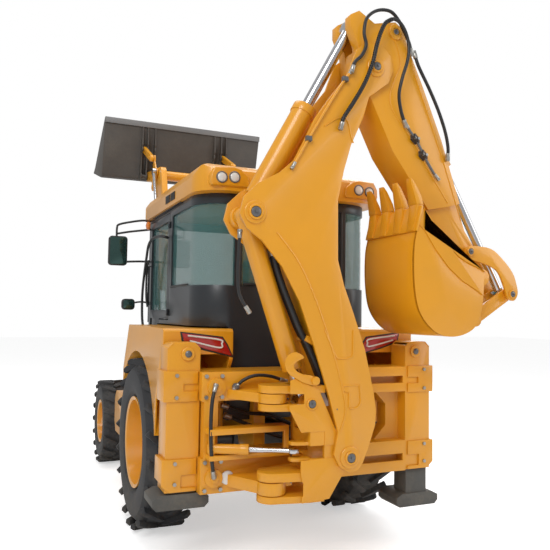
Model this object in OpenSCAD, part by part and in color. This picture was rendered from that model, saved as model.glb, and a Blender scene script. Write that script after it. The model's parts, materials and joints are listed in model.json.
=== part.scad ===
// Backhoe loader: a wheeled tractor with a front loader and a side-shift backhoe.
// Millimetres. +X is the machine's right, +Y forwards, +Z up.
// The origin is on the ground, on the centre line, under the rear axle.

/* [Wheels] */
// Distance from the rear axle to the front axle
wheelbase = 2480; // [2400:10:2560]
// Outer radius of a rear tyre, over its lugs
rear_tyre_r = 715; // [690:5:730]
// Width of a rear tyre
rear_tyre_w = 430; // [400:5:450]
// Half of the width over the rear tyres
rear_half_w = 1130; // [1110:5:1160]
// Outer radius of a front tyre, over its lugs
front_tyre_r = 490; // [470:5:500]
// Width of a front tyre
front_tyre_w = 320; // [300:5:330]
// Half of the width over the front tyres
front_half_w = 1055; // [1040:5:1070]
// Bead radius of a rear rim
rear_rim_r = 365; // [350:5:375]
// Bead radius of a front rim
front_rim_r = 235; // [230:5:240]

/* [Chassis] */
// Centre of a chassis rail from the centre line
rail_x = 315; // [310:5:320]
// Thickness of a chassis rail
rail_t = 90; // [70:5:95]
// Front end of the chassis rails
rail_front_y = 2950; // [2900:10:2960]
// Thickness of a loader tower plate
tower_t = 16; // [12:1:16]

/* [Stabiliser frame] */
// Rear face of the frame's rails
frame_rear_y = -1200; // [-1205:1:-1198]
// Depth of the sliding rails
slide_rail_d = 110; // [100:5:115]
// Half of the width over the leg housings
housing_half_w = 1105; // [1100:1:1110]
// Width of a leg housing
housing_w = 237; // [230:1:242]
// Depth of a leg housing
housing_d = 205; // [200:1:208]
// Top of a leg housing
housing_top = 1620; // [1600:5:1640]
// Wall of a leg housing
housing_wall = 14; // [10:1:18]
// Top of the upper rail
rail_top = 1417; // [1410:1:1420]
// Bottom of the lower rail
rail_bottom = 583; // [580:1:590]
// Length and depth of a stabiliser pad
pad_w = 400; // [380:10:420]
// Thickness of a stabiliser pad
pad_t = 105; // [90:5:110]
// How far the right leg is let down in the stored pose
right_leg_drop = 180; // [100:10:200]

/* [Cab] */
// Half of the width of the cab
cab_half_w = 790; // [780:1:795]
// Half of the width of the cab between the mudguards
tub_half_w = 545; // [530:5:548]
// Rear face of the cab
cab_rear_y = -850; // [-855:5:-840]
// Front face of the cab
cab_front_y = 1000; // [995:1:1005]
// Plan radius of the cab's rear corners
cab_corner_r = 290; // [260:10:320]
// Top of the cab's floor
cab_floor_z = 1040; // [1030:5:1050]
// Underside of the wide part of the cab
cab_belt_z = 1725; // [1722:1:1735]
// Underside of the roof
cab_top_z = 2780; // [2760:10:2800]
// Thickness of the cab's posts and panels
cab_wall = 45; // [36:1:48]
// Thickness of a pane
pane_t = 8; // [5:1:10]
// Height of the roof
roof_h = 250; // [220:10:280]
// Half of the width of the roof
roof_half_w = 830; // [810:5:840]

/* [Hood] */
// Half of the width of the hood
hood_half_w = 385; // [378:1:388]
// Rear end of the hood
hood_rear_y = 1130; // [1125:1:1140]
// Front end of the hood
hood_front_y = 3055; // [3040:5:3060]
// Lower edge of the hood
hood_low_z = 940; // [930:5:945]
// Top of the hood at its rear end
hood_top_z = 1650; // [1620:10:1670]
// Wall of the hood
hood_wall = 12; // [8:1:16]

/* [Loader] */
// Inner and outer face of a loader arm
arm_in = 425; // [424:1:430]
// Outer face of a loader arm
arm_out = 490; // [485:1:491]
// Half of the depth of a loader arm
arm_r = 90; // [80:2:92]
// Half of the width of the loader bucket
loader_half_w = 1060; // [1040:5:1080]
// Plate of the loader bucket
loader_plate = 14; // [10:1:18]

/* [Backhoe] */
// Swing axis of the backhoe from the centre line, in the stored pose
swing_x = -460; // [-462:1:-458]
// Plane of the boom behind the rear axle
boom_y = -1550; // [-1552:1:-1548]
// Half of the width over the boom's side plates
boom_half_w = 172; // [170:1:174]
// Thickness of the boom's side plates
boom_plate = 22; // [18:1:24]
// Half of the width of the backhoe bucket
digger_half_w = 330; // [300:5:345]
// Wall of the backhoe bucket
digger_wall = 20; // [14:1:22]

/* [Hidden] */
$fn = 48;

// Running gap between pieces that move past each other
gap = 5;
// Gap round a pin in its bore
fit = 0.3;
paint = [0.91, 0.63, 0.1];
dark = [0.16, 0.16, 0.17];
steel = [0.75, 0.76, 0.78];
rubber = [0.13, 0.13, 0.14];
tint = [0.35, 0.5, 0.5, 0.4];

// Loader points in the side plane, (y, z), with the arms raised
arm_pivot = [1250, 1560];
arm_knee = [1950, 3500];
arm_tip = [2690, 3610];
lift_foot = [1150, 800];
lift_pin = [1649, 2310];
tilt_pivot = [2235, 3393];
tilt_top = [2193, 3746];
tilt_pin = [2648, 3963];
tilt_ram_pin = [2035, 3543];
tilt_foot = [1420, 2110];
link_x = 542;
lift_x = 565;

// Backhoe points in the boom's plane, (x, z), in the stored pose
boom_foot = [48, 859];
boom_bend = [-677, 2493];
boom_head = [240, 3620];
king_pin = [-238, 1228];
dipper_pin = [119, 3953];
crowd_foot = [430, 3929];
lever_pivot = [1120, 2332];
lever_pin = [1540, 2014];
nose_pin = [1270, 2141];
bucket_pin = [1200, 1807];

// Placing helpers

function ang(p, q) = atan2(q[1] - p[1], q[0] - p[0]);
function on(p, a, d) = p + d * [cos(a), sin(a)];
function mid(p, q, t) = p + t * (q - p);
function unit(v) = v / norm(v);
// A closed outline drawn in by d, with its points in clockwise order
function inset(pts, d) = let (n = len(pts)) [
    for (i = [0 : n - 1])
        let (
            e = unit(pts[i] - pts[(i + n - 1) % n]),
            g = unit(pts[(i + 1) % n] - pts[i]),
            a = [e[1], -e[0]],
            b = [g[1], -g[0]]
        ) pts[i] + d * (a + b) / (1 + a * b)
];

// A flat form in the boom's plane (x, z), between two distances behind the origin
module in_xz(y0, y1) translate([0, y1, 0]) rotate([90, 0, 0]) linear_extrude(y1 - y0) children();
// A flat form in the side plane (y, z)
module in_yz(x0, x1) translate([x0, 0, 0]) rotate([90, 0, 90]) linear_extrude(x1 - x0) children();
// A flat form seen from above
module in_xy(z0, z1) translate([0, 0, z0]) linear_extrude(z1 - z0) children();
module bar_x(p, r, x0, x1) translate([x0, p[0], p[1]]) rotate([0, 90, 0]) cylinder(r = r, h = x1 - x0);
module bar_y(p, r, y0, y1) translate([p[0], y1, p[1]]) rotate([90, 0, 0]) cylinder(r = r, h = y1 - y0);
module bar_z(p, r, z0, z1) translate([p[0], p[1], z0]) cylinder(r = r, h = z1 - z0);
// A box between two corners
module block(a, b) translate(a) cube(b - a);
module both_sides() for (s = [0, 1]) mirror([s, 0, 0]) children();
// Two plates, one each side of the boom's plane
module boom_pair(a, b) {
    in_xz(boom_y + a, boom_y + b) children();
    in_xz(boom_y - b, boom_y - a) children();
}
// A pin through the boom's plane, and one with its middle left out
module boom_bar(p, r, b) bar_y(p, r, boom_y - b, boom_y + b);
module boom_stubs(p, r, a, b) {
    bar_y(p, r, boom_y + a, boom_y + b);
    bar_y(p, r, boom_y - b, boom_y - a);
}

// A bar with round ends of two radii
module bar2d(p, q, rp, rq) {
    a = ang(p, q);
    b = acos((rp - rq) / norm(q - p));
    translate(p) circle(rp);
    translate(q) circle(rq);
    polygon([on(p, a + b, rp), on(q, a + b, rq), on(q, a - b, rq), on(p, a - b, rp)]);
}
module dot(p, r) translate(p) circle(r);

// Rams lie along +X from the foot pin, with their pins along Y

module ram_barrel(len, r, rod_r, eye_w, pin_r) {
    difference() {
        union() {
            translate([0, eye_w / 2, 0]) rotate([90, 0, 0]) cylinder(r = r * 0.92, h = eye_w);
            rotate([0, 90, 0]) cylinder(r = r, h = len);
            translate([len - 60, 0, 0]) rotate([0, 90, 0]) cylinder(r = r * 1.1, h = 60);
        }
        translate([0, r + eye_w, 0]) rotate([90, 0, 0]) cylinder(r = pin_r + fit, h = 2 * (r + eye_w));
        translate([0, r + eye_w, 0]) rotate([90, 0, 0]) cylinder(r = r * 1.6, h = r + eye_w / 2);
        translate([0, -eye_w / 2, 0]) rotate([90, 0, 0]) cylinder(r = r * 1.6, h = r + eye_w / 2);
        translate([r * 0.92 + 15, 0, 0]) rotate([0, 90, 0]) cylinder(r = rod_r + fit, h = len);
    }
}
module ram_rod(x0, reach, rod_r, eye_r, eye_w) {
    translate([x0, 0, 0]) rotate([0, 90, 0]) cylinder(r = rod_r, h = reach - x0);
    translate([reach, eye_w / 2, 0]) rotate([90, 0, 0]) cylinder(r = eye_r, h = eye_w);
}
module place_xz(y, p, q) translate([p[0], y, p[1]]) rotate([0, -ang(p, q), 0]) children();
module place_yz(x, p, q)
    translate([x, p[0], p[1]]) rotate([ang(p, q), 0, 0]) rotate([0, 0, 90]) children();
module place_xy(z, p, q)
    translate([p[0], p[1], z]) rotate([0, 0, ang(p, q)]) rotate([90, 0, 0]) children();

// Wheels

rear_x = rear_half_w - rear_tyre_w / 2;
front_x = front_half_w - front_tyre_w / 2;
kingpin_x = 780;
front_at = [0, wheelbase, front_tyre_r];

// The carcass of a tyre, its axis along X
module carcass(r, bead, w) {
    h = w / 2;
    s = r - bead;
    rotate([0, 90, 0]) rotate_extrude($fn = 96) polygon([
        [bead, -h * 0.7], [bead + 21, -h * 0.72], [bead + 0.2 * s, -h * 0.9], [bead + 0.45 * s, -h * 0.98],
        [bead + 0.78 * s, -h * 0.93], [r, -h * 0.6],
        [r, h * 0.6], [bead + 0.78 * s, h * 0.93],
        [bead + 0.45 * s, h * 0.98], [bead + 0.2 * s, h * 0.9], [bead + 21, h * 0.72], [bead, h * 0.7]
    ]);
}
// Lugs in a chevron: count a side, length, width, height, skew
module lugs(r, w, n, length, lug_w, lug_h, skew) {
    intersection() {
        union() for (i = [0 : n - 1]) for (s = [-1, 1])
            rotate([(i + (s > 0 ? 0.5 : 0)) * 360 / n, 0, 0])
                translate([s * (w / 2 - length * 0.43), 0, r - lug_h - 15])
                    rotate([0, 0, s * skew])
                        translate([-length / 2, -lug_w / 2, 0]) cube([length, lug_w, lug_h + 40]);
        rotate([0, 90, 0]) rotate_extrude($fn = 96) polygon([
            [r - lug_h - 15, -w / 2 + 2], [r - 0.45 * lug_h, -w / 2], [r, -w / 2 + 25],
            [r, w / 2 - 25], [r - 0.45 * lug_h, w / 2], [r - lug_h - 15, w / 2 - 2]
        ]);
    }
}
// A rim whose dished disc stands at disc_x, outwards along +X
module rim(bead, w, disc_x, hub_r, hub_in, bolts, shaft_r, shaft_end) {
    h = w / 2;
    t = 12;
    difference() {
        rotate([0, 90, 0]) rotate_extrude($fn = 96) polygon([
            [bead, -h * 0.72], [bead + 18, -h * 0.78], [bead + 18, -h * 0.84], [bead - t, -h * 0.8],
            [bead - t, disc_x - 40], [hub_r * 1.3, disc_x], [hub_r, disc_x - 5],
            [hub_r, hub_in], [0, hub_in], [0, disc_x + 95], [hub_r * 0.8, disc_x + 95],
            [hub_r * 0.9, disc_x + 20], [hub_r * 1.3, disc_x + 20], [bead - t, disc_x - 20],
            [bead - t, h * 0.8], [bead + 18, h * 0.84], [bead + 18, h * 0.78], [bead, h * 0.72]
        ]);
        bar_x([0, 0], shaft_r + fit, hub_in - 1, shaft_end + 1);
    }
    for (i = [0 : bolts - 1]) rotate([i * 360 / bolts, 0, 0])
        translate([disc_x + 15, 0, hub_r * 1.13]) rotate([0, 90, 0]) cylinder(r = 13, h = 28, $fn = 6);
}
module rear_tyre() translate([rear_x, 0, rear_tyre_r]) color(rubber) {
    carcass(rear_tyre_r - 38, rear_rim_r, rear_tyre_w - 14);
    lugs(rear_tyre_r, rear_tyre_w, 20, 250, 44, 38, 42);
}
module rear_rim() translate([rear_x, 0, rear_tyre_r]) color(paint)
    rim(rear_rim_r, rear_tyre_w, -60, 110, -185, 10, 40, 865 - rear_x);
module front_tyre() translate([front_x, wheelbase, front_tyre_r]) color(rubber) {
    carcass(front_tyre_r - 24, front_rim_r, front_tyre_w - 10);
    lugs(front_tyre_r, front_tyre_w, 18, 190, 50, 24, 30);
}
module front_rim() translate([front_x, wheelbase, front_tyre_r]) color(paint)
    rim(front_rim_r, front_tyre_w, -5, 72, -50, 8, 28, 930 - front_x);

module rear_tyre_left() mirror([1, 0, 0]) rear_tyre();
module rear_tyre_right() rear_tyre();
module rear_rim_left() mirror([1, 0, 0]) rear_rim();
module rear_rim_right() rear_rim();
module front_tyre_left() mirror([1, 0, 0]) front_tyre();
module front_tyre_right() front_tyre();
module front_rim_left() mirror([1, 0, 0]) front_rim();
module front_rim_right() front_rim();

// Chassis

module chassis() color(paint) {
    both_sides() {
        in_yz(rail_x - rail_t / 2, rail_x + rail_t / 2) polygon([
            [-965, 600], [-965, 1400], [-870, 1400], [-870, 1000], [900, 1000], [1000, 900],
            [rail_front_y, 900], [rail_front_y, 680], [350, 680], [250, 850], [-600, 850], [-700, 600]
        ]);
        tower();
    }
    block([-370, rail_front_y, 600], [370, 3050, 900]);
    block([-275, wheelbase - 90, 681], [275, wheelbase + 90, 760]);
    both_sides() difference() {
        in_yz(195, 219) {
            dot(hood_hinge, 22);
            polygon([[2972, 890], [2978, 957], [3002, 957], [3002, 890]]);
        }
        bar_x(hood_hinge, 12 + fit, 190, 225);
    }
    block([-275, wheelbase + 120, 700], [275, wheelbase + 240, 880]);
    block([-275, -960, 620], [275, -900, 800]);
}
module tower() {
    difference() {
        union() {
            for (x = [403, 512 - tower_t]) in_yz(x, x + tower_t) polygon([
                [1130, 640], [1130, 1600], [1190, 1680], [1310, 1680], [1370, 1600], [1370, 640]
            ]);
            block([350, 1130, 700], [512, 1370, 900]);
            bar_x(arm_pivot, 60, 512, 522);
        }
        bar_x(arm_pivot, 35 + fit, 390, 530);
    }
    bar_x(lift_foot, 26, 512, 610);
    bar_x(lift_foot, 40, 600, 612);
}
module engine_block() color(dark) {
    block([-250, wheelbase - 1130, 720], [250, wheelbase - 110, 1420]);
    block([-270, wheelbase - 980, 760], [270, wheelbase - 860, 830]);
    block([-180, wheelbase - 980, 1420], [180, wheelbase - 180, 1500]);
}
module driveline() color(dark) {
    bar_x([0, rear_tyre_r], 120, -640, 640);
    for (x = [-724, 600]) bar_x([0, rear_tyre_r], 185, x, x + 124);
    block([-230, -160, 560], [230, 300, 835]);
    block([-200, 300, 560], [200, wheelbase - 1280, 950]);
    block([-270, 420, 860], [270, 520, 930]);
    bar_x([0, rear_tyre_r], 40, -865, 865);
    translate([0, wheelbase - 1285, 600]) rotate([-93, 0, 0]) cylinder(r = 40, h = 1142);
}
module exhaust() color(dark) {
    bar_z([318, 1062], 38, 900, 2420);
    bar_z([318, 1062], 52, 1500, 2000);
}
module front_axle() color(dark) {
    block([-650, wheelbase - 55, 425], [650, wheelbase + 55, 555]);
    bar_y([0, front_tyre_r], 150, wheelbase - 140, wheelbase + 60);
    block([-150, wheelbase - 60, 540], [150, wheelbase + 60, 681]);
    both_sides() {
        for (z = [355, 585]) block([600, wheelbase - 50, z], [780, wheelbase + 50, z + 40]);
        for (z = [355, 585]) bar_z([kingpin_x, wheelbase], 50, z, z + 40);
        block([600, wheelbase - 50, 355], [650, wheelbase + 50, 625]);
        bar_z([kingpin_x, wheelbase], 30, 360, 620);
    }
}
module knuckle() color(paint) {
    difference() {
        union() {
            bar_z([kingpin_x, wheelbase], 55, 400, 580);
            bar_x([wheelbase, front_tyre_r], 50, kingpin_x, 839);
            bar_x([wheelbase, front_tyre_r], 85, 828, 839);
            bar_x([wheelbase, front_tyre_r], 28, 830, 930);
        }
        bar_z([kingpin_x, wheelbase], 30 + fit, 390, 590);
    }
}
module knuckle_left() mirror([1, 0, 0]) knuckle();
module knuckle_right() knuckle();

// Mudguards and lamps

module guard_side() polygon([
    [-975, 1480], [-975, 1690], [-955, 1712], [400, 1712], [640, 1300], [650, 1120],
    [700, 900], [-760, 900], [-780, 1200]
]);
module rear_mudguards() color(paint) both_sides() difference() {
    in_yz(tub_half_w, 1085) difference() {
        guard_side();
        dot([0, rear_tyre_r], 775);
    }
    in_yz(574, 1071) difference() {
        polygon([
            [-961, 1480], [-961, 1684], [-949, 1698], [392, 1698], [626, 1296], [636, 1120],
            [686, 880], [-774, 880], [-794, 1200]
        ]);
        dot([0, rear_tyre_r], 787);
    }
    block([574, -990, 1400], [1071, -780, 1520]);
}
module tail_lamps() color([0.7, 0.06, 0.05]) both_sides() {
    block([600, -983, 1530], [860, -975, 1680]);
}

// Cab

module cab_plan(hw, r, yr, yf) {
    for (s = [-1, 1]) translate([s * (hw - r), yr + r]) circle(r);
    translate([-hw, yr + r]) square([2 * hw, yf - yr - r]);
    translate([-hw + r, yr]) square([2 * (hw - r), r + 10]);
}
module door_outline() polygon([
    [110, 1770], [110, 2740], [945, 2740], [945, 1200], [732, 1200], [732, 1320], [682, 1410],
    [605, 1570], [540, 1722], [480, 1722], [480, 1770]
]);
module cab_frame() color(dark) {
    difference() {
        in_xy(cab_belt_z, cab_top_z) cab_plan(cab_half_w, cab_corner_r, cab_rear_y, cab_front_y);
        in_xy(cab_belt_z + 40, cab_top_z + 1)
            cab_plan(cab_half_w - cab_wall, cab_corner_r - cab_wall, cab_rear_y + cab_wall, cab_front_y - cab_wall);
        block([-500, cab_rear_y + cab_wall, cab_belt_z - 1], [500, 600, cab_belt_z + 60]);
        block([-cab_half_w + cab_wall, 600, cab_belt_z - 1], [cab_half_w - cab_wall, cab_front_y - cab_wall, cab_belt_z + 60]);
        // Rear window, corner windows, door openings and windscreen
        block([-440, cab_rear_y - 10, 2050], [440, -780, 2700]);
        both_sides() {
            block([500, cab_rear_y - 10, 2050], [cab_half_w + 10, 30, 2700]);
            block([cab_half_w - 90, 105, cab_belt_z + 35], [cab_half_w + 10, 950, 2745]);
            block([cab_half_w - 90, 475, cab_belt_z - 5], [cab_half_w + 10, 950, 2000]);
        }
        block([-700, 900, 1760], [700, cab_front_y + 10, 2700]);
    }
    // Tub between the mudguards, and its wide front end
    difference() {
        union() {
            block([-tub_half_w, cab_rear_y, 1000], [tub_half_w, cab_front_y, cab_belt_z + 5]);
            block([-cab_half_w + cab_wall, 690, 1150], [cab_half_w - cab_wall, cab_front_y, cab_belt_z + 5]);
        }
        block([-500, cab_rear_y + cab_wall, cab_floor_z], [500, cab_front_y - cab_wall, 1800]);
        block([-cab_half_w + 30, 735, 1200], [cab_half_w - 30, 945, 1800]);
        block([-440, 900, 1300], [440, cab_front_y + 10, 1700]);
    }
}
module cab_roof() color(paint) intersection() {
    in_yz(-roof_half_w, roof_half_w) polygon([
        [-950, cab_top_z], [-950, cab_top_z + 90], [-920, cab_top_z + 170], [-820, cab_top_z + 225],
        [-500, cab_top_z + roof_h], [700, cab_top_z + roof_h], [1000, cab_top_z + 215],
        [1120, cab_top_z + 140], [1150, cab_top_z + 60], [1150, cab_top_z]
    ]);
    in_xz(-960, 1160) polygon([
        [-roof_half_w, cab_top_z], [-roof_half_w, cab_top_z + 130], [-790, cab_top_z + 200],
        [-680, cab_top_z + roof_h], [680, cab_top_z + roof_h], [790, cab_top_z + 200],
        [roof_half_w, cab_top_z + 130], [roof_half_w, cab_top_z]
    ]);
    in_xy(cab_top_z, cab_top_z + roof_h + 1) {
        cab_plan(roof_half_w, 250, -950, 1000);
        translate([-roof_half_w + 120, 900]) square([2 * (roof_half_w - 120), 250]);
        for (s = [-1, 1]) translate([s * (roof_half_w - 120), 1030]) circle(120);
    }
}
module cab_glass() color(tint) {
    difference() {
        in_xy(2050, 2700) cab_plan(cab_half_w - 12, cab_corner_r - 12, cab_rear_y + 12, 30);
        in_xy(2040, 2710)
            cab_plan(cab_half_w - 12 - pane_t, cab_corner_r - 12 - pane_t, cab_rear_y + 12 + pane_t, 50);
        for (s = [-1, 1]) block([s * 470 - 30, -900, 2040], [s * 470 + 30, -700, 2710]);
    }
    block([-700, cab_front_y - 20, 1760], [700, cab_front_y - 20 + pane_t, 2700]);
    block([-440, cab_front_y - 20, 1300], [440, cab_front_y - 20 + pane_t, 1700]);
}
module door() {
    difference() {
        in_yz(cab_half_w - cab_wall, cab_half_w) door_outline();
        block([cab_half_w - 90, 190, 1850], [cab_half_w + 10, 870, 2670]);
        block([cab_half_w - 90, 785, 1290], [cab_half_w + 10, 870, 1770]);
    }
    bar_z([cab_half_w + 10.5, 112], 10, 1800, 1860);
    bar_z([cab_half_w + 10.5, 112], 10, 2600, 2660);
    for (z = [1800, 2600]) block([cab_half_w - 2, 112, z], [cab_half_w + 10, 150, z + 60]);
    bar_z([cab_half_w + 20, 900], 10, 1900, 2300);
    for (z = [1900, 2290]) block([cab_half_w - 2, 893, z], [cab_half_w + 22, 907, z + 10]);
}
module door_glass() {
    block([cab_half_w - 27, 190, 1850], [cab_half_w - 27 + pane_t, 870, 2670]);
    block([cab_half_w - 27, 785, 1290], [cab_half_w - 27 + pane_t, 870, 1770]);
}
module door_left() color(dark) mirror([1, 0, 0]) door();
module door_right() color(dark) door();
module door_glass_left() color(tint) mirror([1, 0, 0]) door_glass();
module door_glass_right() color(tint) door_glass();
module operator_station() color(dark) {
    block([-210, -20, cab_floor_z], [210, 380, 1330]);
    block([-150, 800, cab_floor_z], [150, 900, 1700]);
    translate([0, 800, 1650]) rotate([35, 0, 0]) cylinder(r = 28, h = 160);
    translate([0, 716, 1770]) rotate([35, 0, 0]) difference() {
        cylinder(r = 190, h = 26);
        translate([0, 0, -1]) cylinder(r = 168, h = 28);
    }
    translate([0, 716, 1775]) rotate([35, 0, 0]) translate([-180, -14, 0]) cube([360, 28, 14]);
    for (s = [-1, 1]) block([s * 300 - 60, -560, cab_floor_z], [s * 300 + 60, -300, 1760]);
    for (s = [-1, 1]) bar_z([s * 300, -430], 12, 1760, 1980);
    for (s = [-1, 1]) translate([s * 300, -430, 1990]) sphere(r = 26);
}
module seat_cushions() color([0.2, 0.2, 0.21]) {
    block([-245, -30, 1330], [245, 440, 1460]);
    block([-235, -130, 1440], [235, -10, 2080]);
}
module side_tanks() color(paint) both_sides() {
    in_yz(640, 985) polygon([
        [800, 560], [800, 900], [860, 960], [1600, 960], [1680, 880], [1680, 620], [1600, 520], [850, 520]
    ]);
    block([rail_x + rail_t / 2, 900, 700], [645, 1060, 760]);
}
module mirrors() color(dark) both_sides() {
    block([cab_half_w, 968, 2500], [1100, 988, 2520]);
    block([cab_half_w, 968, 2380], [1100, 988, 2400]);
    block([1075, 955, 2300], [1125, 1000, 2600]);
    block([1010, 1000, 2300], [1180, 1040, 2600]);
}
module roof_lamps() color([0.9, 0.9, 0.85]) both_sides() {
    for (x = [470, 570]) bar_y([x, 2825], 38, -975, -950);
    for (x = [470, 600]) bar_y([x, 2812], 30, 1150, 1180);
}

// Hood

hood_hinge = [3012, 957];
module hood_side() polygon([
    [hood_rear_y, hood_low_z], [hood_rear_y, hood_top_z], [2300, 1600], [2850, 1500], [3000, 1400],
    [hood_front_y, 1250], [hood_front_y, hood_low_z]
]);
module hood() color(paint) {
    hood_shell();
    hood_lugs();
}
module hood_shell() difference() {
    intersection() {
        in_yz(-hood_half_w, hood_half_w) hood_side();
        in_xz(1000, 3100) polygon([
            [-hood_half_w, 900], [-hood_half_w, 1520], [-330, 1610], [-250, 1660], [250, 1660],
            [330, 1610], [hood_half_w, 1520], [hood_half_w, 900]
        ]);
    }
    intersection() {
        in_yz(-hood_half_w + hood_wall, hood_half_w - hood_wall) polygon([
            [hood_rear_y - 10, 900], [hood_rear_y - 10, hood_top_z - 12], [2298, 1588], [2842, 1489],
            [2989, 1392], [hood_front_y - 14, 1246], [hood_front_y - 14, 900]
        ]);
        in_xz(1000, 3100) polygon([
            [-370, 890], [-370, 1514], [-322, 1600], [-246, 1648], [246, 1648],
            [322, 1600], [370, 1514], [370, 890]
        ]);
    }
    block([-300, 3000, 990], [300, 3100, 1330]);
}
module hood_lugs() both_sides() {
    block([219.4, 2998, 945], [240, 3042, 972]);
    bar_x(hood_hinge, 12, 190, 230);
}
module grille() color(dark) {
    for (i = [0 : 10]) block([-300, 3035, 995 + 30 * i], [300, 3047, 1010 + 30 * i]);
    for (x = [-300, -100, 90, 290]) block([x, 3022, 990], [x + 10, 3041, 1330]);
}

// Loader

module arm_side() {
    bar2d(arm_pivot, arm_knee, arm_r, arm_r);
    bar2d(arm_knee, arm_tip, arm_r, 60);
    polygon([[1830, 3000], [tilt_pivot[0] - 10, tilt_pivot[1] - 60], [2420, 3500], [1950, 3560]]);
    dot(tilt_pivot, 60);
    dot(lift_pin, 60);
    polygon([[1500, 2100], [1700, 2280], [1695, 2350], [1660, 2600]]);
}
module loader_arms() color(paint) {
    both_sides() {
        difference() {
            in_yz(arm_in, arm_out) arm_side();
            bar_x(arm_tip, 30 + fit, arm_in - 1, arm_out + 1);
        }
        bar_x(arm_pivot, 35, 398, 526);
        bar_x(tilt_pivot, 28, arm_out - 5, 522);
        bar_x(tilt_foot, 24, arm_out - 5, 592);
        bar_x(lift_pin, 34, arm_out - 5, 528);
    }
    bar_x([2130, 3527], 60, -arm_in - 5, arm_in + 5);
}
module tilt_levers() color(paint) both_sides() {
    difference() {
        in_yz(498, 514) {
            bar2d(tilt_pivot, tilt_top, 50, 42);
            bar2d(tilt_pivot, tilt_ram_pin, 50, 42);
            polygon([tilt_pivot, tilt_top, tilt_ram_pin]);
        }
        bar_x(tilt_pivot, 28 + fit, 490, 520);
    }
    bar_x(tilt_top, 22, 500, 568);
}
module tilt_links() color(paint) both_sides() difference() {
    in_yz(522, 562) bar2d(tilt_top, tilt_pin, 40, 40);
    bar_x(tilt_top, 22 + fit, 515, 570);
    bar_x(tilt_pin, 22 + fit, 515, 570);
}
module loader_outline() polygon(loader_pts);
loader_pts = [[2602, 4322], [2660, 4330], [3500, 3850], [3640, 3805], [3621, 3786], [2850, 3580], [2800, 3590], [2785, 3630]];
module loader_bucket() color([0.3, 0.27, 0.25]) {
    difference() {
        in_yz(-loader_half_w, loader_half_w) polygon(loader_pts);
        in_yz(-loader_half_w + loader_plate, loader_half_w - loader_plate) polygon([
            [2618, 4318], [2680, 4420], [3600, 3900], [3700, 3840], [3617, 3799], [2850, 3595],
            [2808, 3602], [2799, 3632]
        ]);
    }
    both_sides() {
        for (x = [[401, 417], [498, 514], [568, 584]]) in_yz(x[0], x[1]) {
            polygon([[2606, 4320], [2800, 3595], [2740, 3570], arm_tip, tilt_pin, [2590, 4020]]);
            dot(arm_tip, 48);
            dot(tilt_pin, 45);
        }
        bar_x(arm_tip, 30, 402, 583);
        bar_x(tilt_pin, 22, 500, 583);
    }
}
module lift_barrels() color(paint) both_sides()
    place_yz(lift_x, lift_foot, lift_pin) ram_barrel(850, 45, 28, 56, 26);
module lift_rods() color(steel) both_sides()
    place_yz(lift_x, lift_foot, lift_pin) ram_rod(745, norm(lift_pin - lift_foot), 28, 48, 50);
module tilt_barrels() color(paint) both_sides()
    place_yz(link_x, tilt_foot, tilt_ram_pin) ram_barrel(1010, 42, 22, 44, 24);
module tilt_rods() color(steel) both_sides()
    place_yz(link_x, tilt_foot, tilt_ram_pin) ram_rod(780, norm(tilt_ram_pin - tilt_foot), 22, 42, 40);

// Stabiliser frame

module stabiliser_frame() color(paint) {
    yf = frame_rear_y + housing_d;
    x1 = housing_half_w - housing_w;
    difference() {
        union() {
            block([-x1 - 5, frame_rear_y, 1217], [x1 + 5, frame_rear_y + slide_rail_d, rail_top]);
            block([-x1 - 5, frame_rear_y, rail_bottom], [x1 + 5, frame_rear_y + slide_rail_d, 826]);
            block([-x1 - 5, frame_rear_y + slide_rail_d, rail_bottom], [x1 + 5, -965, rail_top]);
        }
        for (z = [[1286, 1342], [665, 721]]) {
            block([-845, frame_rear_y - 10, z[0]], [845, frame_rear_y + 22, z[1]]);
            block([-850, frame_rear_y + 22, z[0] - 30], [850, frame_rear_y + slide_rail_d - 15, z[1] + 30]);
        }
        in_xz(-1300, -900) polygon([
            [-640, 826], [-750, 936], [-750, 1107], [-640, 1217], [640, 1217], [750, 1107],
            [750, 936], [640, 826]
        ]);
    }
    both_sides() difference() {
        in_xz(frame_rear_y, yf) polygon([
            [x1, 500], [x1, housing_top - 40], [x1 + 40, housing_top], [housing_half_w - 40, housing_top],
            [housing_half_w, housing_top - 40], [housing_half_w, 590], [x1 + 40, 590]
        ]);
        block(
            [x1 + housing_wall, frame_rear_y + housing_wall, 400],
            [housing_half_w - housing_wall, yf - housing_wall, housing_top - housing_wall]
        );
        block([x1 - 5, frame_rear_y - 5, 400], [x1 + 60, yf + 5, 590]);
    }
}
module leg() {
    x0 = housing_half_w - housing_w + housing_wall + gap;
    x2 = housing_half_w - housing_wall - gap;
    y0 = frame_rear_y + housing_wall + gap;
    y2 = frame_rear_y + housing_d - housing_wall - gap;
    xm = (x0 + x2) / 2;
    z0 = 577 - pad_t;
    color(dark) block([x0, y0, 570], [x2, y2, 1590]);
    color(dark) for (z = [1450, 1540]) block([x0 - 4.6, y0 + 30, z], [x2 + 4.6, y2 - 30, z + 40]);
    color(dark) translate([xm, (y0 + y2) / 2 + 60, 0]) in_xz(-165, 105) polygon([
        [-pad_w / 2 + 30, z0], [-pad_w / 2, z0 + 30], [-pad_w / 2, z0 + pad_t - 30], [-pad_w / 2 + 60, 577],
        [pad_w / 2 - 60, 577], [pad_w / 2, z0 + pad_t - 30], [pad_w / 2, z0 + 30], [pad_w / 2 - 30, z0]
    ]);
}
module leg_left() mirror([1, 0, 0]) leg();
module leg_right() translate([0, 0, -right_leg_drop]) leg();

// Backhoe mounting

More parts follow.
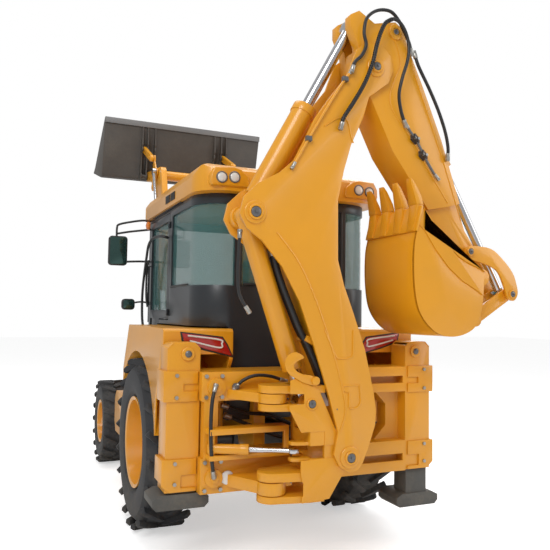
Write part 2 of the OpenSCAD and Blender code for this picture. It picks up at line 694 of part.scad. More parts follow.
swing_y = boom_y;
swing_foot = [-820, -1350];
swing_eye = [-320, -1600];
module carriage() color(paint) {
    difference() {
        union() {
            block([-880, -1290, 583], [-40, frame_rear_y - gap, 826]);
            block([-880, -1290, 1217], [-40, frame_rear_y - gap, 1417]);
            block([-860, -1290, 820], [-760, frame_rear_y - gap, 1220]);
            block([-160, -1290, 820], [-60, frame_rear_y - gap, 1220]);
            for (z = [[1000, 1040], [830, 862]]) block([-848, -1398, z[0]], [-262, -1280, z[1]]);
            block([-300, -1398, 862], [-262, -1372, 1000]);
            for (z = [[1232, 1294], [628, 709]]) in_xy(z[0], z[1]) {
                polygon([[-700, -1280], [-220, -1280], [swing_x + 90, swing_y], [swing_x - 90, swing_y]]);
                dot([swing_x, swing_y], 98);
            }
        }
        bar_z([swing_x, swing_y], 40 + fit, 500, 1500);
    }
    bar_z(swing_foot, 24, 850, 1010);
    for (x = [-880, -120]) for (z = [1350, 597])
        block([x, frame_rear_y - 8, z], [x + 80, frame_rear_y - 0.4, z + 55]);
    for (p = [[-780, 1314], [-140, 1314], [-790, 693], [-130, 693]]) {
        bar_y(p, 62, -1325, -1288);
        bar_y(p, 30, -1345, -1325, $fn = 6);
        bar_y(p, 20, -1295, frame_rear_y + 60);
    }
}
module kingpost() color(paint) {
    difference() {
        for (z = [[1300, 1350], [1180, 1226], [717, 774], [576, 621]]) in_xy(z[0], z[1]) {
            dot([swing_x, swing_y], 98);
            polygon([
                [swing_x, swing_y - 98], [-240, swing_y - 143], [-130, swing_y - 143],
                [-130, swing_y + 143], [-240, swing_y + 143], [swing_x, swing_y + 98]
            ]);
        }
        block([-352, boom_y - 72, 1170], [-100, boom_y + 72, 1400]);
    }
    boom_pair(118, 143) difference() {
        polygon([
            [-240, 576], [-109, 590], [30, 775], [105, 800], [125, 860], [100, 915], [30, 935], [-44, 1036],
            [-190, 1350], [-240, 1350]
        ]);
        dot(boom_foot, 35 + fit);
        polygon([[-250, 862], [-132, 862], [-132, 948], [-250, 948]]);
    }
    boom_stubs(king_pin, 34, 60, 143);
    boom_pair(60, 80) dot(king_pin, 62);
    block([-240, boom_y - 119, 948], [-214, boom_y + 119, 1034]);
    block([-240, boom_y - 119, 774], [-214, boom_y + 119, 862]);
    bar_z([swing_x, swing_y], 40, 578, 772);
    bar_z([swing_x, swing_y], 40, 1182, 1348);
    for (z = [840, 948]) in_xy(z, z + 22) polygon([
        [-220, boom_y - 119], [-220, boom_y - 20], [-300, boom_y - 10], [-352, boom_y - 30],
        [-352, boom_y - 76], [-300, boom_y - 100]
    ]);
}
module swing_barrel() color(paint) place_xy(905, swing_foot, swing_eye)
    ram_barrel(255, 34, 20, 60, 24);
module swing_rod() color(steel) place_xy(905, swing_foot, swing_eye)
    ram_rod(205, norm(swing_eye - swing_foot), 20, 36, 26);

// Boom

boom_left = [
    [-73, 884], [-44, 1036], [-116, 1281], [-234, 1625], [-342, 1912], [-478, 2148], [-624, 2312],
    [-730, 2384], [-781, 2479], [-755, 2592], [-659, 2687], [-502, 2776], [-400, 2869], [-335, 2994],
    [-245, 3179], [-130, 3344], [4, 3516], [44, 3625], [80, 3720], [160, 3790]
];
boom_right = [
    [300, 3790], [370, 3720], [390, 3620], [350, 3520], [186, 3393], [137, 3233], [41, 3026], [-14, 2841],
    [-60, 2626], [-56, 2208], [-7, 2037], [75, 1831], [165, 1588], [240, 1274], [257, 1170], [250, 1066],
    [194, 912], [150, 810], [115, 769], [44, 757], [-30, 800]
];
boom_core = [
    [-20, 1060], [232, 1100], [228, 1270], [152, 1582], [62, 1826], [-20, 2033], [-69, 2208],
    [-73, 2628], [-28, 2845], [28, 3030], [95, 3175], [-85, 3180], [-240, 2990], [-385, 2776],
    [-470, 2600], [-480, 2420], [-400, 2200], [-300, 1912], [-195, 1625], [-85, 1281]
];
module boom() color(paint) {
    boom_pair(boom_half_w - boom_plate, boom_half_w) polygon(concat(boom_left, boom_right));
    in_xz(boom_y - 152, boom_y + 152) polygon(boom_core);
    boom_bar(boom_foot, 35, boom_half_w + 15);
    boom_bar(boom_bend, 40, boom_half_w + 15);
    boom_bar(boom_head, 40, boom_half_w + 15);
}
module boom_barrel() color(paint) place_xz(boom_y, boom_bend, king_pin)
    intersection() {
        ram_barrel(1190, 70, 38, 130, 40);
        translate([-200, -65, -200]) cube([1300, 130, 400]);
    }
module boom_rod() color(steel) place_xz(boom_y, boom_bend, king_pin)
    ram_rod(250, norm(king_pin - boom_bend), 38, 58, 100);
module dipper_barrel() color(paint) place_xz(boom_y, boom_bend, dipper_pin) difference() {
    ram_barrel(915, 82, 40, 280, 40);
    translate([-150, -70, -150]) cube([300, 140, 300]);
}
module dipper_rod() color(steel) place_xz(boom_y, boom_bend, dipper_pin)
    ram_rod(800, norm(dipper_pin - boom_bend), 40, 62, 100);

// Dipper

dipper_pts = [
    [200, 3440], [409, 3034], [558, 2842], [745, 2600], [930, 2370], [1040, 2235], [1220, 2075],
    [1290, 2070], [1345, 2110], [1335, 2180], [1175, 2385], [1093, 2493], [849, 3163], [674, 3560],
    [538, 3842], [500, 3960], [430, 4005], [360, 3990], [250, 3960], [119, 4030], [50, 3990],
    [50, 3910], [110, 3780], [130, 3600]
];
module dipper() color(paint) {
    difference() {
        union() {
            intersection() {
                in_xz(boom_y - 140, boom_y + 140) polygon(dipper_pts);
                in_xz(boom_y - 141, boom_y + 141) polygon([[0, 4100], [1400, 4100], [1400, 2800], [900, 2660], [0, 2480]]);
            }
            in_xz(boom_y - 105, boom_y + 105) difference() {
                polygon(dipper_pts);
                dot(nose_pin, 190);
            }
            in_xz(boom_y - 70, boom_y + 70) polygon(dipper_pts);
        }
        boom_bar(boom_head, 40 + fit, 200);
        in_xz(boom_y - 56, boom_y + 56) {
            dot(dipper_pin, 95);
            bar2d(dipper_pin, [180, 3868], 77, 76);
            bar2d([180, 3868], [156, 3820], 76, 77);
            polygon([[119, 4060], [-100, 4060], [-100, 3700], [119, 3700]]);
        }
        in_xz(boom_y - 72, boom_y + 72) {
            dot(crowd_foot, 92);
            polygon([
                on(crowd_foot, -150, 80), on(mid(crowd_foot, lever_pin, 0.62), -150, 80),
                on(mid(crowd_foot, lever_pin, 0.62), 30, 250), on(crowd_foot, 30, 250)
            ]);
        }
        boom_bar(nose_pin, 35 + fit, 200);
    }
    boom_stubs(dipper_pin, 34, 60, 100);
    boom_bar(crowd_foot, 34, 100);
    boom_bar(lever_pivot, 30, 137);
}
module crowd_barrel() color(paint) place_xz(boom_y, crowd_foot, lever_pin)
    ram_barrel(1080, 60, 34, 110, 34);
module crowd_rod() color(steel) place_xz(boom_y, crowd_foot, lever_pin)
    ram_rod(980, norm(lever_pin - crowd_foot), 34, 56, 90);
module tipping_lever() color(paint) {
    boom_pair(115, 135) difference() {
        union() {
            bar2d(lever_pivot, [1360, 2340], 55, 50);
            bar2d([1360, 2340], lever_pin, 50, 52);
        }
        dot(lever_pivot, 30 + fit);
    }
    boom_stubs(lever_pin, 30, 58, 134);
}
module tipping_link() color(paint) {
    boom_pair(60, 80) difference() {
        bar2d(lever_pin, bucket_pin, 50, 50);
        dot(lever_pin, 30 + fit);
    }
    boom_bar(bucket_pin, 30, 70);
}
digger_pts = [
    [1090, 2160], [1056, 1875], [981, 1740], [845, 1691], [724, 1707], [584, 1787], [486, 1938],
    [462, 2082], [461, 2284], [476, 2389], [534, 2602]
];
module digger_bucket() color(paint) {
    difference() {
        in_xz(boom_y - digger_half_w, boom_y + digger_half_w) polygon(digger_pts);
        in_xz(boom_y - digger_half_w + digger_wall, boom_y + digger_half_w - digger_wall)
            polygon(concat(inset([for (i = [0 : 10]) digger_pts[i]], digger_wall), [[700, 2800], [1150, 2400]]));
    }
    boom_pair(85, 110) {
        bar2d(nose_pin, [1060, 2050], 62, 62);
        bar2d(bucket_pin, [1030, 1830], 52, 52);
        polygon([nose_pin, bucket_pin, [1040, 1840], [1060, 2100]]);
    }
    boom_bar(nose_pin, 35, 112);
    boom_stubs(bucket_pin, 30, 82, 112);
    for (i = [-1.5, -0.5, 0.5, 1.5]) translate([0, i * 178, 0])
        in_xz(boom_y - 35, boom_y + 35) polygon([
            [470, 2400], [456, 2808], [476, 2808], [545, 2600], [520, 2400]
        ]);
}

chassis();
engine_block();
driveline();
exhaust();
front_axle();
rear_mudguards();
tail_lamps();
cab_frame();
cab_roof();
cab_glass();
seat_cushions();
operator_station();
side_tanks();
mirrors();
roof_lamps();
stabiliser_frame();
hood();
grille();
rear_tyre_left();
rear_rim_left();
rear_tyre_right();
rear_rim_right();
front_tyre_left();
front_rim_left();
front_tyre_right();
front_rim_right();
knuckle_left();
knuckle_right();
door_left();
door_glass_left();
door_right();
door_glass_right();
loader_arms();
tilt_levers();
tilt_links();
loader_bucket();
lift_barrels();
lift_rods();
tilt_barrels();
tilt_rods();
carriage();
kingpost();
swing_barrel();
swing_rod();
boom();
boom_barrel();
boom_rod();
dipper();
dipper_barrel();
dipper_rod();
crowd_barrel();
crowd_rod();
tipping_lever();
tipping_link();
digger_bucket();
leg_left();
leg_right();
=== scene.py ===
"""Studio scene of a backhoe loader, built around its packed assembly.

Metres, in the assembly's own frame: +X is the machine's right, +Y forwards and
+Z up, with the origin on the ground under the rear axle. The shapes that are
added here are given in millimetres.
"""

from __future__ import annotations

import json
import logging
import math
from dataclasses import dataclass, field
from enum import Enum
from typing import Callable, Sequence

import bmesh
import bpy
from mathutils import Matrix, Vector

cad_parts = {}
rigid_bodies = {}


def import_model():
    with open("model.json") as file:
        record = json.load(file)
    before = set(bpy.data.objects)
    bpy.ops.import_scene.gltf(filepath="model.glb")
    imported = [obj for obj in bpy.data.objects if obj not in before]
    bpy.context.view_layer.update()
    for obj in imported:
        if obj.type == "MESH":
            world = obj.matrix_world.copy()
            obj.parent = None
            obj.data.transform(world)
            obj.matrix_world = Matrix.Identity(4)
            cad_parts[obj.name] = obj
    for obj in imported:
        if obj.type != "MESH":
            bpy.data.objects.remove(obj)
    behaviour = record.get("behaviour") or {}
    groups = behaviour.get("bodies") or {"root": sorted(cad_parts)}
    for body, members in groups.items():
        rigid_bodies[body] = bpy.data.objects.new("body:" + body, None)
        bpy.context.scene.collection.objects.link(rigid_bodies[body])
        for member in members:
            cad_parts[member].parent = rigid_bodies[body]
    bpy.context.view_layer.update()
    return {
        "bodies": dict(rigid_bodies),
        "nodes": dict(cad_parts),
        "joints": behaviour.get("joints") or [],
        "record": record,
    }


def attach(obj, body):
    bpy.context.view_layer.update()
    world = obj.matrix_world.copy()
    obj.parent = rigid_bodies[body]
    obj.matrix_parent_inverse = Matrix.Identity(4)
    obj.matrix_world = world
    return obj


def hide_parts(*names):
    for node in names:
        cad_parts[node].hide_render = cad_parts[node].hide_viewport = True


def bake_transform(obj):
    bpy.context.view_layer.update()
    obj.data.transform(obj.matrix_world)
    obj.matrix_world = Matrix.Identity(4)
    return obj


LOG = logging.getLogger("backhoe_loader")

Flat = tuple[float, float]
Point = tuple[float, float, float]
Colour = tuple[float, float, float, float]
Socket = bpy.types.NodeSocket

MM = 0.001
BOOM_Y = -1550.0
HOSE_Y = BOOM_Y - 192.0
HEAD_PIN = (240.0, 3620.0)
SIDES = (-1, 1)
REARWARDS = (0, -1, 0)
WHITE = (1.0, 1.0, 1.0, 1.0)
IMAGE_PX = 550
SENSOR_MM = 36.0


class Slot(Enum):
    """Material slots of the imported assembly, and the finishes added to them."""

    YELLOW = "yellow_paint"
    DARK = "dark_paint"
    LEG = "leg_paint"
    BUCKET = "bucket_paint"
    CAB = "cab_black"
    PLASTIC = "dark_plastic"
    CHROME = "chromed_steel"
    TYRE = "tyre_rubber"
    SEAT = "seat_cloth"
    GLASS = "tinted_glass"
    LAMP_RED = "lamp_red"
    LAMP_CLEAR = "lamp_clear"
    RUBBER = "hose_rubber"
    ZINC = "zinc"
    STEEL = "grey_steel"
    PALE = "pale_paint"
    MIRROR = "mirror_glass"
    AMBER = "amber_lens"

    @property
    def recorded(self) -> str:
        """Name of the record's slot that this finish belongs to."""
        return RECORD_SLOTS.get(self, self).value


class NodeSheet:
    """Adds and links nodes in one tree."""

    def __init__(self, tree: bpy.types.NodeTree) -> None:
        """Keep the tree to build in."""
        self.tree = tree

    def add(self, kind: str, inputs: dict[str, object] | None = None, **values: object) -> bpy.types.Node:
        """Add a node.

        Args:
            kind: The node's type name.
            inputs: Values of its inputs.
            **values: Attributes to set on it.

        Returns:
            The new node.
        """
        node = self.tree.nodes.new(kind)
        for name, value in values.items():
            setattr(node, name, value)
        fill(node, inputs or {})
        return node

    def link(self, *pairs: tuple[Socket, Socket]) -> None:
        """Join pairs of sockets, each an output and the input that it feeds."""
        for source, target in pairs:
            self.tree.links.new(source, target)

    def noise(self, vector: Socket, scale: float, detail: float, rough: float = 0.6) -> Socket:
        """Add a noise texture.

        Args:
            vector: Coordinates that drive it.
            scale: Waves to the metre.
            detail: Octaves.
            rough: Weight of the fine octaves.

        Returns:
            The factor output.
        """
        node = self.add("ShaderNodeTexNoise", {"Scale": scale, "Detail": detail, "Roughness": rough})
        self.link((vector, node.inputs["Vector"]))
        return node.outputs["Fac"]

    def remap(
        self, value: Socket, low: float, high: float, to_low: float = 0.0, to_high: float = 1.0
    ) -> Socket:
        """Map a value from one range to another, clamped.

        Args:
            value: The input.
            low: Start of the input range.
            high: End of the input range.
            to_low: Result at the start.
            to_high: Result at the end.

        Returns:
            The mapped output.
        """
        limits = {"From Min": low, "From Max": high, "To Min": to_low, "To Max": to_high}
        node = self.add("ShaderNodeMapRange", limits)
        self.link((value, node.inputs["Value"]))
        return node.outputs["Result"]

    def math(self, operation: str, first: Socket, second: Socket | float) -> Socket:
        """Add a math node.

        Args:
            operation: Its operation name.
            first: The first input.
            second: The second input, a socket or a number.

        Returns:
            The result.
        """
        node = self.add("ShaderNodeMath", operation=operation)
        self.link((first, node.inputs[0]))
        if isinstance(second, Socket):
            self.link((second, node.inputs[1]))
        else:
            node.inputs[1].default_value = second
        return node.outputs["Value"]


def fill(node: bpy.types.Node, inputs: dict[str, object]) -> None:
    """Set the values of a node's inputs, by their names."""
    for name, value in inputs.items():
        node.inputs[name].default_value = value


def node_group(
    name: str,
    kind: str,
    inlets: Sequence[tuple[str, str, object]],
    outlets: Sequence[tuple[str, str]],
    draw: Callable[[NodeSheet, bpy.types.Node, bpy.types.Node], None],
) -> bpy.types.NodeTree:
    """Build a shared node group once.

    Args:
        name: The group's name.
        kind: Its tree's type name.
        inlets: Name, kind and value of each input.
        outlets: Name and kind of each output.
        draw: Adds the nodes between the group's input and output.

    Returns:
        The node group.
    """
    found = bpy.data.node_groups.get(name)
    if found:
        return found
    tree = bpy.data.node_groups.new(name, kind)
    for label, socket, value in inlets:
        made = tree.interface.new_socket(label, in_out="INPUT", socket_type=socket)
        if value is not None:
            made.default_value = value
    for label, socket in outlets:
        tree.interface.new_socket(label, in_out="OUTPUT", socket_type=socket)
    sheet = NodeSheet(tree)
    draw(sheet, sheet.add("NodeGroupInput"), sheet.add("NodeGroupOutput"))
    return tree


def new_material(name: str) -> tuple[bpy.types.Material, NodeSheet, bpy.types.Node]:
    """Start a material.

    Args:
        name: Its name.

    Returns:
        The material, its sheet and its shader.
    """
    material = bpy.data.materials.new(name)
    material.use_nodes = True
    return material, NodeSheet(material.node_tree), material.node_tree.nodes["Principled BSDF"]


class GrimeGroup:
    """Shared effect: dust low down and in patches, and a slight change of tone."""

    @classmethod
    def get(cls) -> bpy.types.NodeTree:
        """Build the group once.

        Returns:
            The node group.
        """
        inlets = (
            ("Paint", "NodeSocketColor", (0.5, 0.5, 0.5, 1.0)),
            ("Dust", "NodeSocketColor", (0.32, 0.27, 0.2, 1.0)),
            ("Dust Amount", "NodeSocketFloat", 0.3),
            ("Dust Height", "NodeSocketFloat", 1.0),
            ("Tone Change", "NodeSocketFloat", 0.1),
            ("Roughness", "NodeSocketFloat", 0.4),
        )
        outlets = (("Colour", "NodeSocketColor"), ("Roughness", "NodeSocketFloat"))
        return node_group("GrimeLayer", "ShaderNodeTree", inlets, outlets, cls.draw)

    @staticmethod
    def draw(sheet: NodeSheet, inlet: bpy.types.Node, outlet: bpy.types.Node) -> None:
        """Add the group's nodes.

        Args:
            sheet: The group's sheet.
            inlet: Its input node.
            outlet: Its output node.
        """
        coords = sheet.add("ShaderNodeTexCoord").outputs["Object"]
        parts = sheet.add("ShaderNodeSeparateXYZ")
        sheet.link((coords, parts.inputs[0]))
        low = sheet.math("DIVIDE", parts.outputs["Z"], inlet.outputs["Dust Height"])
        low = sheet.remap(low, 0.15, 1.0, 1.0, 0.12)
        patches = sheet.remap(sheet.noise(coords, 3.2, 6.0, 0.68), 0.4, 0.72)
        fine = sheet.remap(sheet.noise(coords, 38.0, 3.0), 0.35, 0.75, 0.35, 1.0)
        dust = sheet.math("MULTIPLY", sheet.math("MULTIPLY", patches, fine), low)
        dust = sheet.math("MULTIPLY", dust, inlet.outputs["Dust Amount"])
        tone = sheet.remap(sheet.noise(coords, 1.7, 3.0), 0.3, 0.7, -0.5, 0.5)
        tone = sheet.math("ADD", sheet.math("MULTIPLY", tone, inlet.outputs["Tone Change"]), 1.0)
        shade = sheet.add("ShaderNodeHueSaturation")
        mix = sheet.add("ShaderNodeMix", data_type="RGBA")
        rough = sheet.math("ADD", sheet.math("MULTIPLY", dust, 0.6), inlet.outputs["Roughness"])
        sheet.link(
            (inlet.outputs["Paint"], shade.inputs["Color"]),
            (tone, shade.inputs["Value"]),
            (dust, mix.inputs["Factor"]),
            (shade.outputs["Color"], mix.inputs["A"]),
            (inlet.outputs["Dust"], mix.inputs["B"]),
            (mix.outputs["Result"], outlet.inputs["Colour"]),
            (rough, outlet.inputs["Roughness"]),
        )


class RippleGroup:
    """Shared effect: a fine surface height, such as orange peel or cast skin."""

    @classmethod
    def get(cls) -> bpy.types.NodeTree:
        """Build the group once.

        Returns:
            The node group.
        """
        inlets = [
            (name, "NodeSocketFloat", value)
            for name, value in (("Fine Scale", 400.0), ("Broad Scale", 6.0), ("Broad Share", 0.5))
        ]
        outlets = [("Height", "NodeSocketFloat")]
        return node_group("SurfaceRipple", "ShaderNodeTree", inlets, outlets, cls.draw)

    @staticmethod
    def draw(sheet: NodeSheet, inlet: bpy.types.Node, outlet: bpy.types.Node) -> None:
        """Add the group's nodes.

        Args:
            sheet: The group's sheet.
            inlet: Its input node.
            outlet: Its output node.
        """
        coords = sheet.add("ShaderNodeTexCoord").outputs["Object"]
        heights = []
        for name, detail in (("Fine Scale", 2.0), ("Broad Scale", 3.0)):
            node = sheet.add("ShaderNodeTexNoise", {"Detail": detail})
            sheet.link((coords, node.inputs["Vector"]), (inlet.outputs[name], node.inputs["Scale"]))
            heights.append(node.outputs["Fac"])
        broad = sheet.math("MULTIPLY", heights[1], inlet.outputs["Broad Share"])
        sheet.link((sheet.math("ADD", heights[0], broad), outlet.inputs["Height"]))


@dataclass(frozen=True)
class Finish:
    """A surface finish, made as one material."""

    name: str
    colour: Colour
    roughness: float = 0.4
    metallic: float = 0.0
    coat: float = 0.0
    coat_roughness: float = 0.1
    sheen: float = 0.0
    dust: Colour = (0.3, 0.26, 0.2, 1.0)
    dust_amount: float = 0.3
    dust_height: float = 1.2
    tone: float = 0.08
    fine_scale: float = 420.0
    broad_scale: float = 9.0
    broad_share: float = 0.4
    bump: float = 0.04
    bump_mm: float = 0.4

    def build(self) -> bpy.types.Material:
        """Make the material, or return it if it exists.

        Returns:
            The material.
        """
        found = bpy.data.materials.get(self.name)
        if found:
            return found
        material, sheet, shader = new_material(self.name)
        material.diffuse_color = self.colour
        grime = sheet.add(
            "ShaderNodeGroup",
            node_tree=GrimeGroup.get(),
            inputs={
                "Paint": self.colour,
                "Dust": self.dust,
                "Dust Amount": self.dust_amount,
                "Dust Height": self.dust_height,
                "Tone Change": self.tone,
                "Roughness": self.roughness,
            },
        )
        scales = {
            "Fine Scale": self.fine_scale,
            "Broad Scale": self.broad_scale,
            "Broad Share": self.broad_share,
        }
        ripple = sheet.add("ShaderNodeGroup", scales, node_tree=RippleGroup.get())
        bump = sheet.add("ShaderNodeBump", {"Strength": self.bump, "Distance": self.bump_mm * MM})
        sheet.link(
            (ripple.outputs["Height"], bump.inputs["Height"]),
            (grime.outputs["Colour"], shader.inputs["Base Color"]),
            (grime.outputs["Roughness"], shader.inputs["Roughness"]),
            (bump.outputs["Normal"], shader.inputs["Normal"]),
        )
        looks = {"Metallic": self.metallic, "Coat Weight": self.coat, "Coat Roughness": self.coat_roughness}
        fill(shader, looks | {"Sheen Weight": self.sheen})
        return material


@dataclass(frozen=True)
class GlassFinish:
    """Tinted glass, seen through by its alpha."""

    name: str
    colour: Colour
    alpha: float = 0.4
    roughness: float = 0.04
    smear: float = 0.12

    def build(self) -> bpy.types.Material:
        """Make the material, or return it if it exists.

        Returns:
            The material.
        """
        found = bpy.data.materials.get(self.name)
        if found:
            return found
        material, sheet, shader = new_material(self.name)
        coords = sheet.add("ShaderNodeTexCoord").outputs["Object"]
        patches = sheet.noise(coords, 5.0, 5.0)
        rough = sheet.remap(patches, 0.45, 0.75, self.roughness, self.roughness + self.smear)
        sheet.link((rough, shader.inputs["Roughness"]))
        fill(shader, {"Base Color": self.colour, "Alpha": self.alpha})
        fill(shader, {"Coat Weight": 0.15, "Specular IOR Level": 0.25})
        return material


RECORD_SLOTS: dict[Slot, Slot] = {
    Slot.RUBBER: Slot.PLASTIC,
    Slot.ZINC: Slot.CHROME,
    Slot.STEEL: Slot.DARK,
    Slot.PALE: Slot.BUCKET,
    Slot.MIRROR: Slot.CHROME,
    Slot.AMBER: Slot.LAMP_RED,
}

FINISHES: dict[Slot, Finish | GlassFinish] = {
    Slot.YELLOW: Finish("YellowPaint", (0.76, 0.325, 0.008, 1.0), 0.36, coat=0.35, coat_roughness=0.12),
    Slot.DARK: Finish("DarkPaint", (0.028, 0.028, 0.03, 1.0), 0.42, coat=0.15, dust_amount=0.45),
    Slot.LEG: Finish("LegPaint", (0.075, 0.073, 0.066, 1.0), 0.55, dust_amount=0.6, bump=0.2),
    Slot.BUCKET: Finish("BucketPaint", (0.062, 0.053, 0.045, 1.0), 0.5, dust_height=6.0, bump=0.2),
    Slot.CAB: Finish(
        "CabBlack", (0.018, 0.022, 0.027, 1.0), 0.34, coat=0.2, coat_roughness=0.15, dust_amount=0.08
    ),
    Slot.PLASTIC: Finish(
        "DarkPlastic", (0.02, 0.02, 0.021, 1.0), 0.5, dust_amount=0.15, bump=0.25, fine_scale=900.0
    ),
    Slot.CHROME: Finish(
        "ChromedSteel", (0.62, 0.62, 0.64, 1.0), 0.16, metallic=1.0, dust_amount=0.02, bump=0.0
    ),
    Slot.TYRE: Finish(
        "TyreRubber", (0.022, 0.023, 0.026, 1.0), 0.62, dust_amount=0.5, bump=0.3, fine_scale=260.0
    ),
    Slot.SEAT: Finish(
        "CushionCloth", (0.03, 0.03, 0.034, 1.0), 0.9, sheen=0.4, dust_amount=0.05, bump=0.6, fine_scale=700.0
    ),
    Slot.GLASS: GlassFinish("TintedGlass", (0.09, 0.22, 0.21, 1.0), 0.42),
    Slot.LAMP_RED: Finish("RedLens", (0.42, 0.015, 0.012, 1.0), 0.18, coat=0.8, dust_amount=0.05),
    Slot.LAMP_CLEAR: Finish("ClearLens", (0.75, 0.75, 0.72, 1.0), 0.12, coat=0.8, dust_amount=0.05),
    Slot.RUBBER: Finish(
        "HoseRubber", (0.013, 0.013, 0.014, 1.0), 0.42, dust_amount=0.25, bump=0.2, fine_scale=800.0
    ),
    Slot.ZINC: Finish("ZincPlate", (0.42, 0.41, 0.38, 1.0), 0.34, metallic=0.9, dust_amount=0.1, bump=0.05),
    Slot.STEEL: Finish("GreySteel", (0.16, 0.16, 0.165, 1.0), 0.38, metallic=0.6, dust_amount=0.25, bump=0.1),
    Slot.PALE: Finish(
        "PalePaint", (0.17, 0.17, 0.172, 1.0), 0.45, dust_amount=0.4, dust_height=6.0, bump=0.15
    ),
    # Painted reflection: the mirror glass's dark green colour stands in for the dark green surroundings that
    # the mirrors reflect.
    Slot.MIRROR: Finish(
        "MirrorGlassPaintedReflection", (0.05, 0.1, 0.09, 1.0), 0.12, metallic=0.8, dust_amount=0.02, bump=0.0
    ),
    Slot.AMBER: Finish("AmberLens", (0.75, 0.2, 0.01, 1.0), 0.15, coat=0.8, dust_amount=0.05),
}


def mesh_object(name: str, mesh: bpy.types.Mesh, material: bpy.types.Material) -> bpy.types.Object:
    """Link a mesh as a new object with one material.

    Args:
        name: The object's name.
        mesh: Its mesh, placed in the assembly's frame.
        material: Its material.

    Returns:
        The object.
    """
    mesh.materials.clear()
    mesh.materials.append(material)
    made = bpy.data.objects.new(name, mesh)
    bpy.context.scene.collection.objects.link(made)
    return made


def round_edges(made: bpy.types.Object, width: float, segments: int, degrees: float) -> None:
    """Round an object's edges by a modifier.

    Args:
        made: The object.
        width: Width of the rounding in metres.
        segments: Facets across it.
        degrees: Angle over which an edge is rounded.
    """
    rounding = made.modifiers.new("Rounding", "BEVEL")
    rounding.width = width
    rounding.segments = segments
    rounding.limit_method = "ANGLE"
    rounding.angle_limit = math.radians(degrees)


def bake(made: bpy.types.Object, degrees: float = 32.0) -> None:
    """Turn an object's modifiers into its plain mesh, and shade that smooth.

    Args:
        made: The object.
        degrees: Angle over which an edge stays sharp.
    """
    graph = bpy.context.evaluated_depsgraph_get()
    mesh = bpy.data.meshes.new_from_object(made.evaluated_get(graph), depsgraph=graph)
    mesh.name = made.name
    material = made.data.materials[0]
    made.modifiers.clear()
    made.data = mesh
    mesh.materials.clear()
    mesh.materials.append(material)
    mesh.shade_smooth()
    mesh.set_sharp_from_angle(angle=math.radians(degrees))
    LOG.info("%s: %d faces", made.name, len(mesh.polygons))


BEVELS: dict[Slot, float] = {
    Slot.YELLOW: 0.004,
    Slot.DARK: 0.004,
    Slot.LEG: 0.006,
    Slot.BUCKET: 0.003,
    Slot.CAB: 0.005,
    Slot.PLASTIC: 0.003,
    Slot.CHROME: 0.002,
    Slot.TYRE: 0.006,
    Slot.SEAT: 0.02,
}

REPLACED = {"digger_bucket", "tipping_lever", "tail_lamps", "roof_lamps", "mirrors", "seat_cushions"}


@dataclass
class NodeDresser:
    """Gives each carried-over node its finish, with welded faces and soft edges on most."""

    merge: float = 0.00002
    planar: float = math.radians(0.6)
    sharp_degrees: float = 28.0

    def dress(self, frame: dict) -> None:
        """Give every node that stays its finish.

        Args:
            frame: The loaded frame.
        """
        bodies = frame["record"]["behaviour"]["bodies"]
        owner = {node: body for body, nodes in bodies.items() for node in nodes}
        for entry in frame["record"]["subparts"]:
            node, slot = entry["node"], Slot(entry["material_slot"])
            if node in REPLACED:
                continue
            source = frame["nodes"][node]
            if slot in BEVELS:
                self.soften(node, source, owner[node], slot)
                continue
            material = FINISHES[slot].build()
            for place in source.material_slots:
                place.material = material
            if not source.material_slots:
                source.data.materials.append(material)

    def soften(self, node: str, source: bpy.types.Object, body: str, slot: Slot) -> None:
        """Replace a node by its welded copy with rounded edges.

        Args:
            node: The node's name.
            source: Its object.
            body: The body it rides on.
            slot: The finish's slot.
        """
        mesh = source.data.copy()
        shape = bmesh.new()
        shape.from_mesh(mesh)
        bmesh.ops.remove_doubles(shape, verts=shape.verts, dist=self.merge)
        bmesh.ops.dissolve_limit(
            shape,
            angle_limit=self.planar,
            verts=shape.verts,
            edges=shape.edges,
            use_dissolve_boundaries=False,
        )
        shape.to_mesh(mesh)
        shape.free()
        made = mesh_object(f"{node}_form", mesh, FINISHES[slot].build())
        round_edges(made, BEVELS[slot], 2, self.sharp_degrees)
        bake(made)
        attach(made, body)
        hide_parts(node)
        slot.recorded


class Axis(Enum):
    """The direction that a flat outline is drawn out along."""

    X = 0
    Y = 1
    Z = 2


class Stamp(Enum):
    """Small shape that a repeat sets down at each of its points."""

    BOLT = "BoltRepeat"
    RING = "RingRepeat"
    SLAT = "SlatRepeat"


def capsule(first: Flat, second: Flat, r_first: float, r_second: float, steps: int = 14) -> list[Flat]:
    """Outline of a bar with round ends.

    Args:
        first: Centre of the first end.
        second: Centre of the second end.
        r_first: Radius of the first end.
        r_second: Radius of the second end.
        steps: Points round each end.

    Returns:
        The closed outline.
    """
    heading = math.atan2(second[1] - first[1], second[0] - first[0])
    lean = math.acos((r_first - r_second) / math.dist(first, second))
    points = []
    for centre, radius, start, stop in (
        (second, r_second, -lean, lean),
        (first, r_first, lean, 2 * math.pi - lean),
    ):
        for step in range(steps + 1):
            angle = heading + start + (stop - start) * step / steps
            points.append((centre[0] + radius * math.cos(angle), centre[1] + radius * math.sin(angle)))
    return points


def curve_through(points: Sequence[Sequence[float]], steps: int = 6) -> list[Vector]:
    """Smooth curve through points of two or three numbers.

    Args:
        points: The points, in order.
        steps: Pieces between two of them.

    Returns:
        The points of the curve.
    """
    size = len(points[0])
    padded = [Vector(tuple(p) + (0.0,) * (3 - size)) for p in points]
    padded = [2 * padded[0] - padded[1], *padded, 2 * padded[-1] - padded[-2]]
    curve = []
    for i in range(1, len(padded) - 2):
        a, b, c, d = padded[i - 1 : i + 3]
        for t in (step / steps for step in range(steps)):
            square, cube = 2 * a - 5 * b + 4 * c - d, 3 * b - a - 3 * c + d
            curve.append(0.5 * (2 * b + (c - a) * t + square * t * t + cube * t**3))
    curve.append(padded[-2])
    return curve


def flat_curve(points: Sequence[Flat], steps: int) -> list[Flat]:
    """Smooth outline through flat points."""
    return [(p.x, p.y) for p in curve_through(points, steps)]


